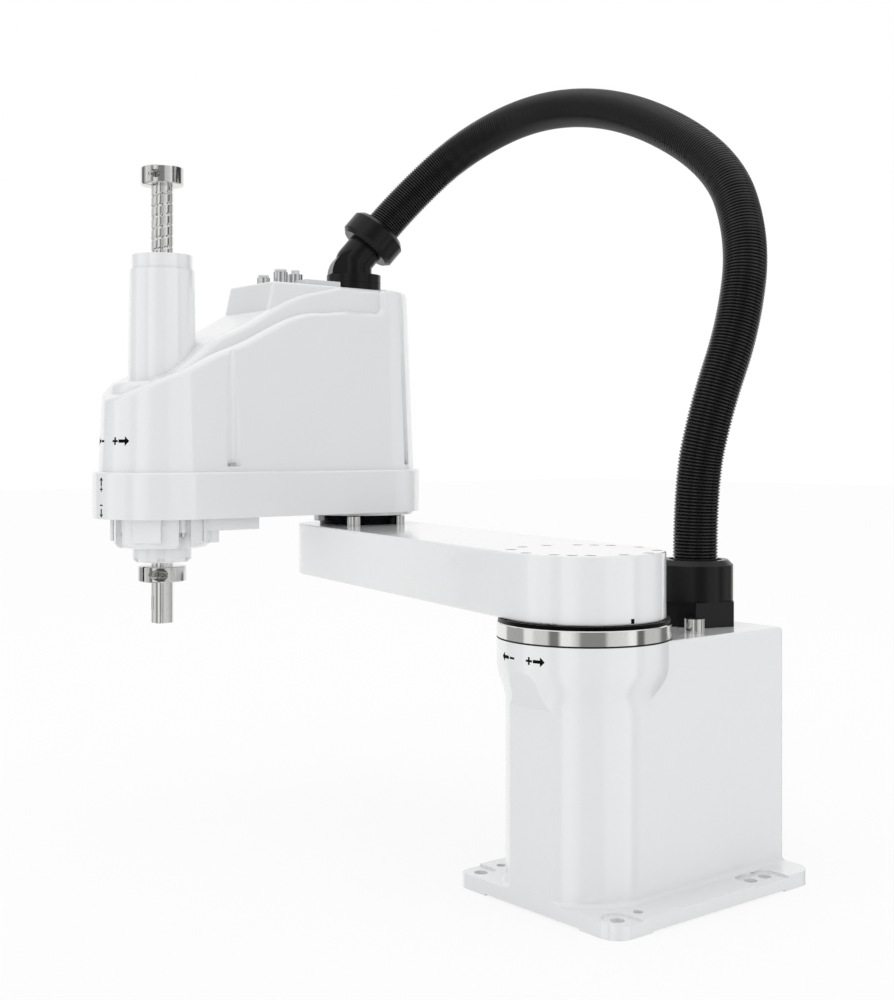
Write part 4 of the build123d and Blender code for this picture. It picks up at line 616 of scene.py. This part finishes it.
shaft_low, shaft_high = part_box("splined_shaft")
first_axis = (0.0, 0.0)
tool_axis = ((shaft_low[0] + shaft_high[0]) / 2, (shaft_low[1] + shaft_high[1]) / 2)
direction_sign("first_axis_sign", "base", first_axis, lambda z: column_radius, column_sign_place, False)
direction_sign("turn_axis_sign", "outer_arm", tool_axis, cover_radius, cover_sign_place, False)
direction_sign("lift_axis_sign", "outer_arm", tool_axis, lambda z: tray_tip_radius, tray_sign_place, True)
zero_tick = wrapped_strip(
    "zero_tick",
    first_axis,
    lambda z: arm_tip_radius,
    zero_tick_heading,
    zero_tick_height,
    [bar_pairs(-zero_tick_width / 2, zero_tick_width / 2, zero_tick_length / 2)],
)
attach(zero_tick, "inner_arm")


def is_seen(tree):
    """One where a ray comes from the camera or through glass, nought for all other rays."""
    path = add_node(tree, "ShaderNodeLightPath")
    seen = add_node(
        tree,
        "ShaderNodeMath",
        {0: path.outputs["Is Camera Ray"], 1: path.outputs["Is Transmission Ray"]},
        operation="MAXIMUM",
    )
    return seen.outputs[0]


def add_floor():
    """A wide pale floor, nearly white to the camera, with a faint shadow; reflections pass it."""
    material = bpy.data.materials.new("pale_floor")
    material.use_nodes = True
    tree = material.node_tree
    tree.nodes.clear()
    lit = add_node(tree, "ShaderNodeBsdfDiffuse", {"Color": linear("#FAFAFA")})
    glow = add_node(tree, "ShaderNodeEmission", {"Color": white, "Strength": 1.0})
    share = add_node(tree, "ShaderNodeMath", {0: is_seen(tree), 1: floor_glow}, operation="MULTIPLY")
    mixed = add_node(
        tree,
        "ShaderNodeMixShader",
        {0: share.outputs[0], 1: lit.outputs["BSDF"], 2: glow.outputs["Emission"]},
    )
    path = add_node(tree, "ShaderNodeLightPath")
    open_floor = add_node(tree, "ShaderNodeBsdfTransparent", {"Color": white})
    whole = add_node(
        tree,
        "ShaderNodeMixShader",
        {0: path.outputs["Is Glossy Ray"], 1: mixed.outputs["Shader"], 2: open_floor.outputs["BSDF"]},
    )
    add_node(tree, "ShaderNodeOutputMaterial", {"Surface": whole.outputs["Shader"]})
    corners = [(x * floor_half, y * floor_half, 0) for x, y in ((-1, -1), (1, -1), (1, 1), (-1, 1))]
    floor = mesh_piece("floor", corners, [(0, 1, 2, 3)], material)


def add_world():
    """White to the camera, an even tent for the light, and its screens' tones for reflections."""
    world = bpy.data.worlds.new("studio")
    bpy.context.scene.world = world
    world.use_nodes = True
    tree = world.node_tree
    tree.nodes.clear()
    place = add_node(tree, "ShaderNodeTexCoord")
    parts = add_node(tree, "ShaderNodeSeparateXYZ", {"Vector": place.outputs["Generated"]})
    turn = add_node(
        tree, "ShaderNodeMath", {0: parts.outputs["Y"], 1: parts.outputs["X"]}, operation="ARCTAN2"
    )
    share = add_node(
        tree,
        "ShaderNodeMath",
        {0: turn.outputs[0], 1: 1 / (2 * math.pi), 2: 0.5},
        operation="MULTIPLY_ADD",
    )
    screens = add_node(tree, "ShaderNodeValToRGB", {"Fac": share.outputs[0]})
    stops = screens.color_ramp.elements
    while len(stops) > 1:
        stops.remove(stops[-1])
    stops[0].position = (tent_tones[0][0] + 180) / 360
    stops[0].color = (tent_tones[0][1],) * 3 + (1.0,)
    for heading, tone in tent_tones[1:]:
        stop = stops.new((heading + 180) / 360)
        stop.color = (tone, tone, tone, 1.0)
    path = add_node(tree, "ShaderNodeLightPath")
    walls = add_node(
        tree,
        "ShaderNodeMix",
        {
            "Factor": path.outputs["Is Glossy Ray"],
            "A": (tent_light, tent_light, tent_light, 1.0),
            "B": screens.outputs["Color"],
        },
        data_type="RGBA",
    )
    up = add_node(
        tree,
        "ShaderNodeMapRange",
        {"Value": parts.outputs["Z"], "From Min": screen_top, "From Max": ceiling_start},
    )
    tent = add_node(
        tree,
        "ShaderNodeMix",
        {
            "Factor": up.outputs["Result"],
            "A": walls.outputs["Result"],
            "B": (ceiling_light, ceiling_light, ceiling_light, 1.0),
        },
        data_type="RGBA",
    )
    light = add_node(
        tree, "ShaderNodeBackground", {"Color": tent.outputs["Result"], "Strength": tent_strength}
    )
    shown = add_node(tree, "ShaderNodeBackground", {"Color": white, "Strength": 1.0})
    mixed = add_node(
        tree,
        "ShaderNodeMixShader",
        {0: is_seen(tree), 1: light.outputs["Background"], 2: shown.outputs["Background"]},
    )
    add_node(tree, "ShaderNodeOutputWorld", {"Surface": mixed.outputs["Shader"]})


def add_lamp(name, place, aim, size, power):
    """A square soft lamp that faces a point."""
    lamp = bpy.data.lights.new(name, "AREA")
    lamp.size = size
    lamp.energy = power
    holder = bpy.data.objects.new(name, lamp)
    bpy.context.scene.collection.objects.link(holder)
    holder.location = place
    holder.rotation_euler = (Vector(aim) - Vector(place)).to_track_quat("-Z", "Y").to_euler()


def add_camera():
    """The camera that took the photograph."""
    camera = bpy.data.cameras.new("camera")
    camera.sensor_width = sensor_width
    camera.lens = sensor_width * camera_focal_px / picture_height_px
    camera.shift_y = (horizon_px - picture_height_px / 2) / picture_height_px
    holder = bpy.data.objects.new("camera", camera)
    bpy.context.scene.collection.objects.link(holder)
    holder.location = camera_place
    holder.rotation_euler = Vector(camera_direction).to_track_quat("-Z", "Y").to_euler()
    bpy.context.scene.camera = holder


add_floor()
add_world()
add_lamp("key_lamp", key_lamp_place, lamp_aim, key_lamp_size, key_lamp_watts)
add_lamp("top_lamp", top_lamp_place, lamp_aim, top_lamp_size, top_lamp_watts)
add_camera()
bpy.context.scene.view_settings.view_transform = "Standard"
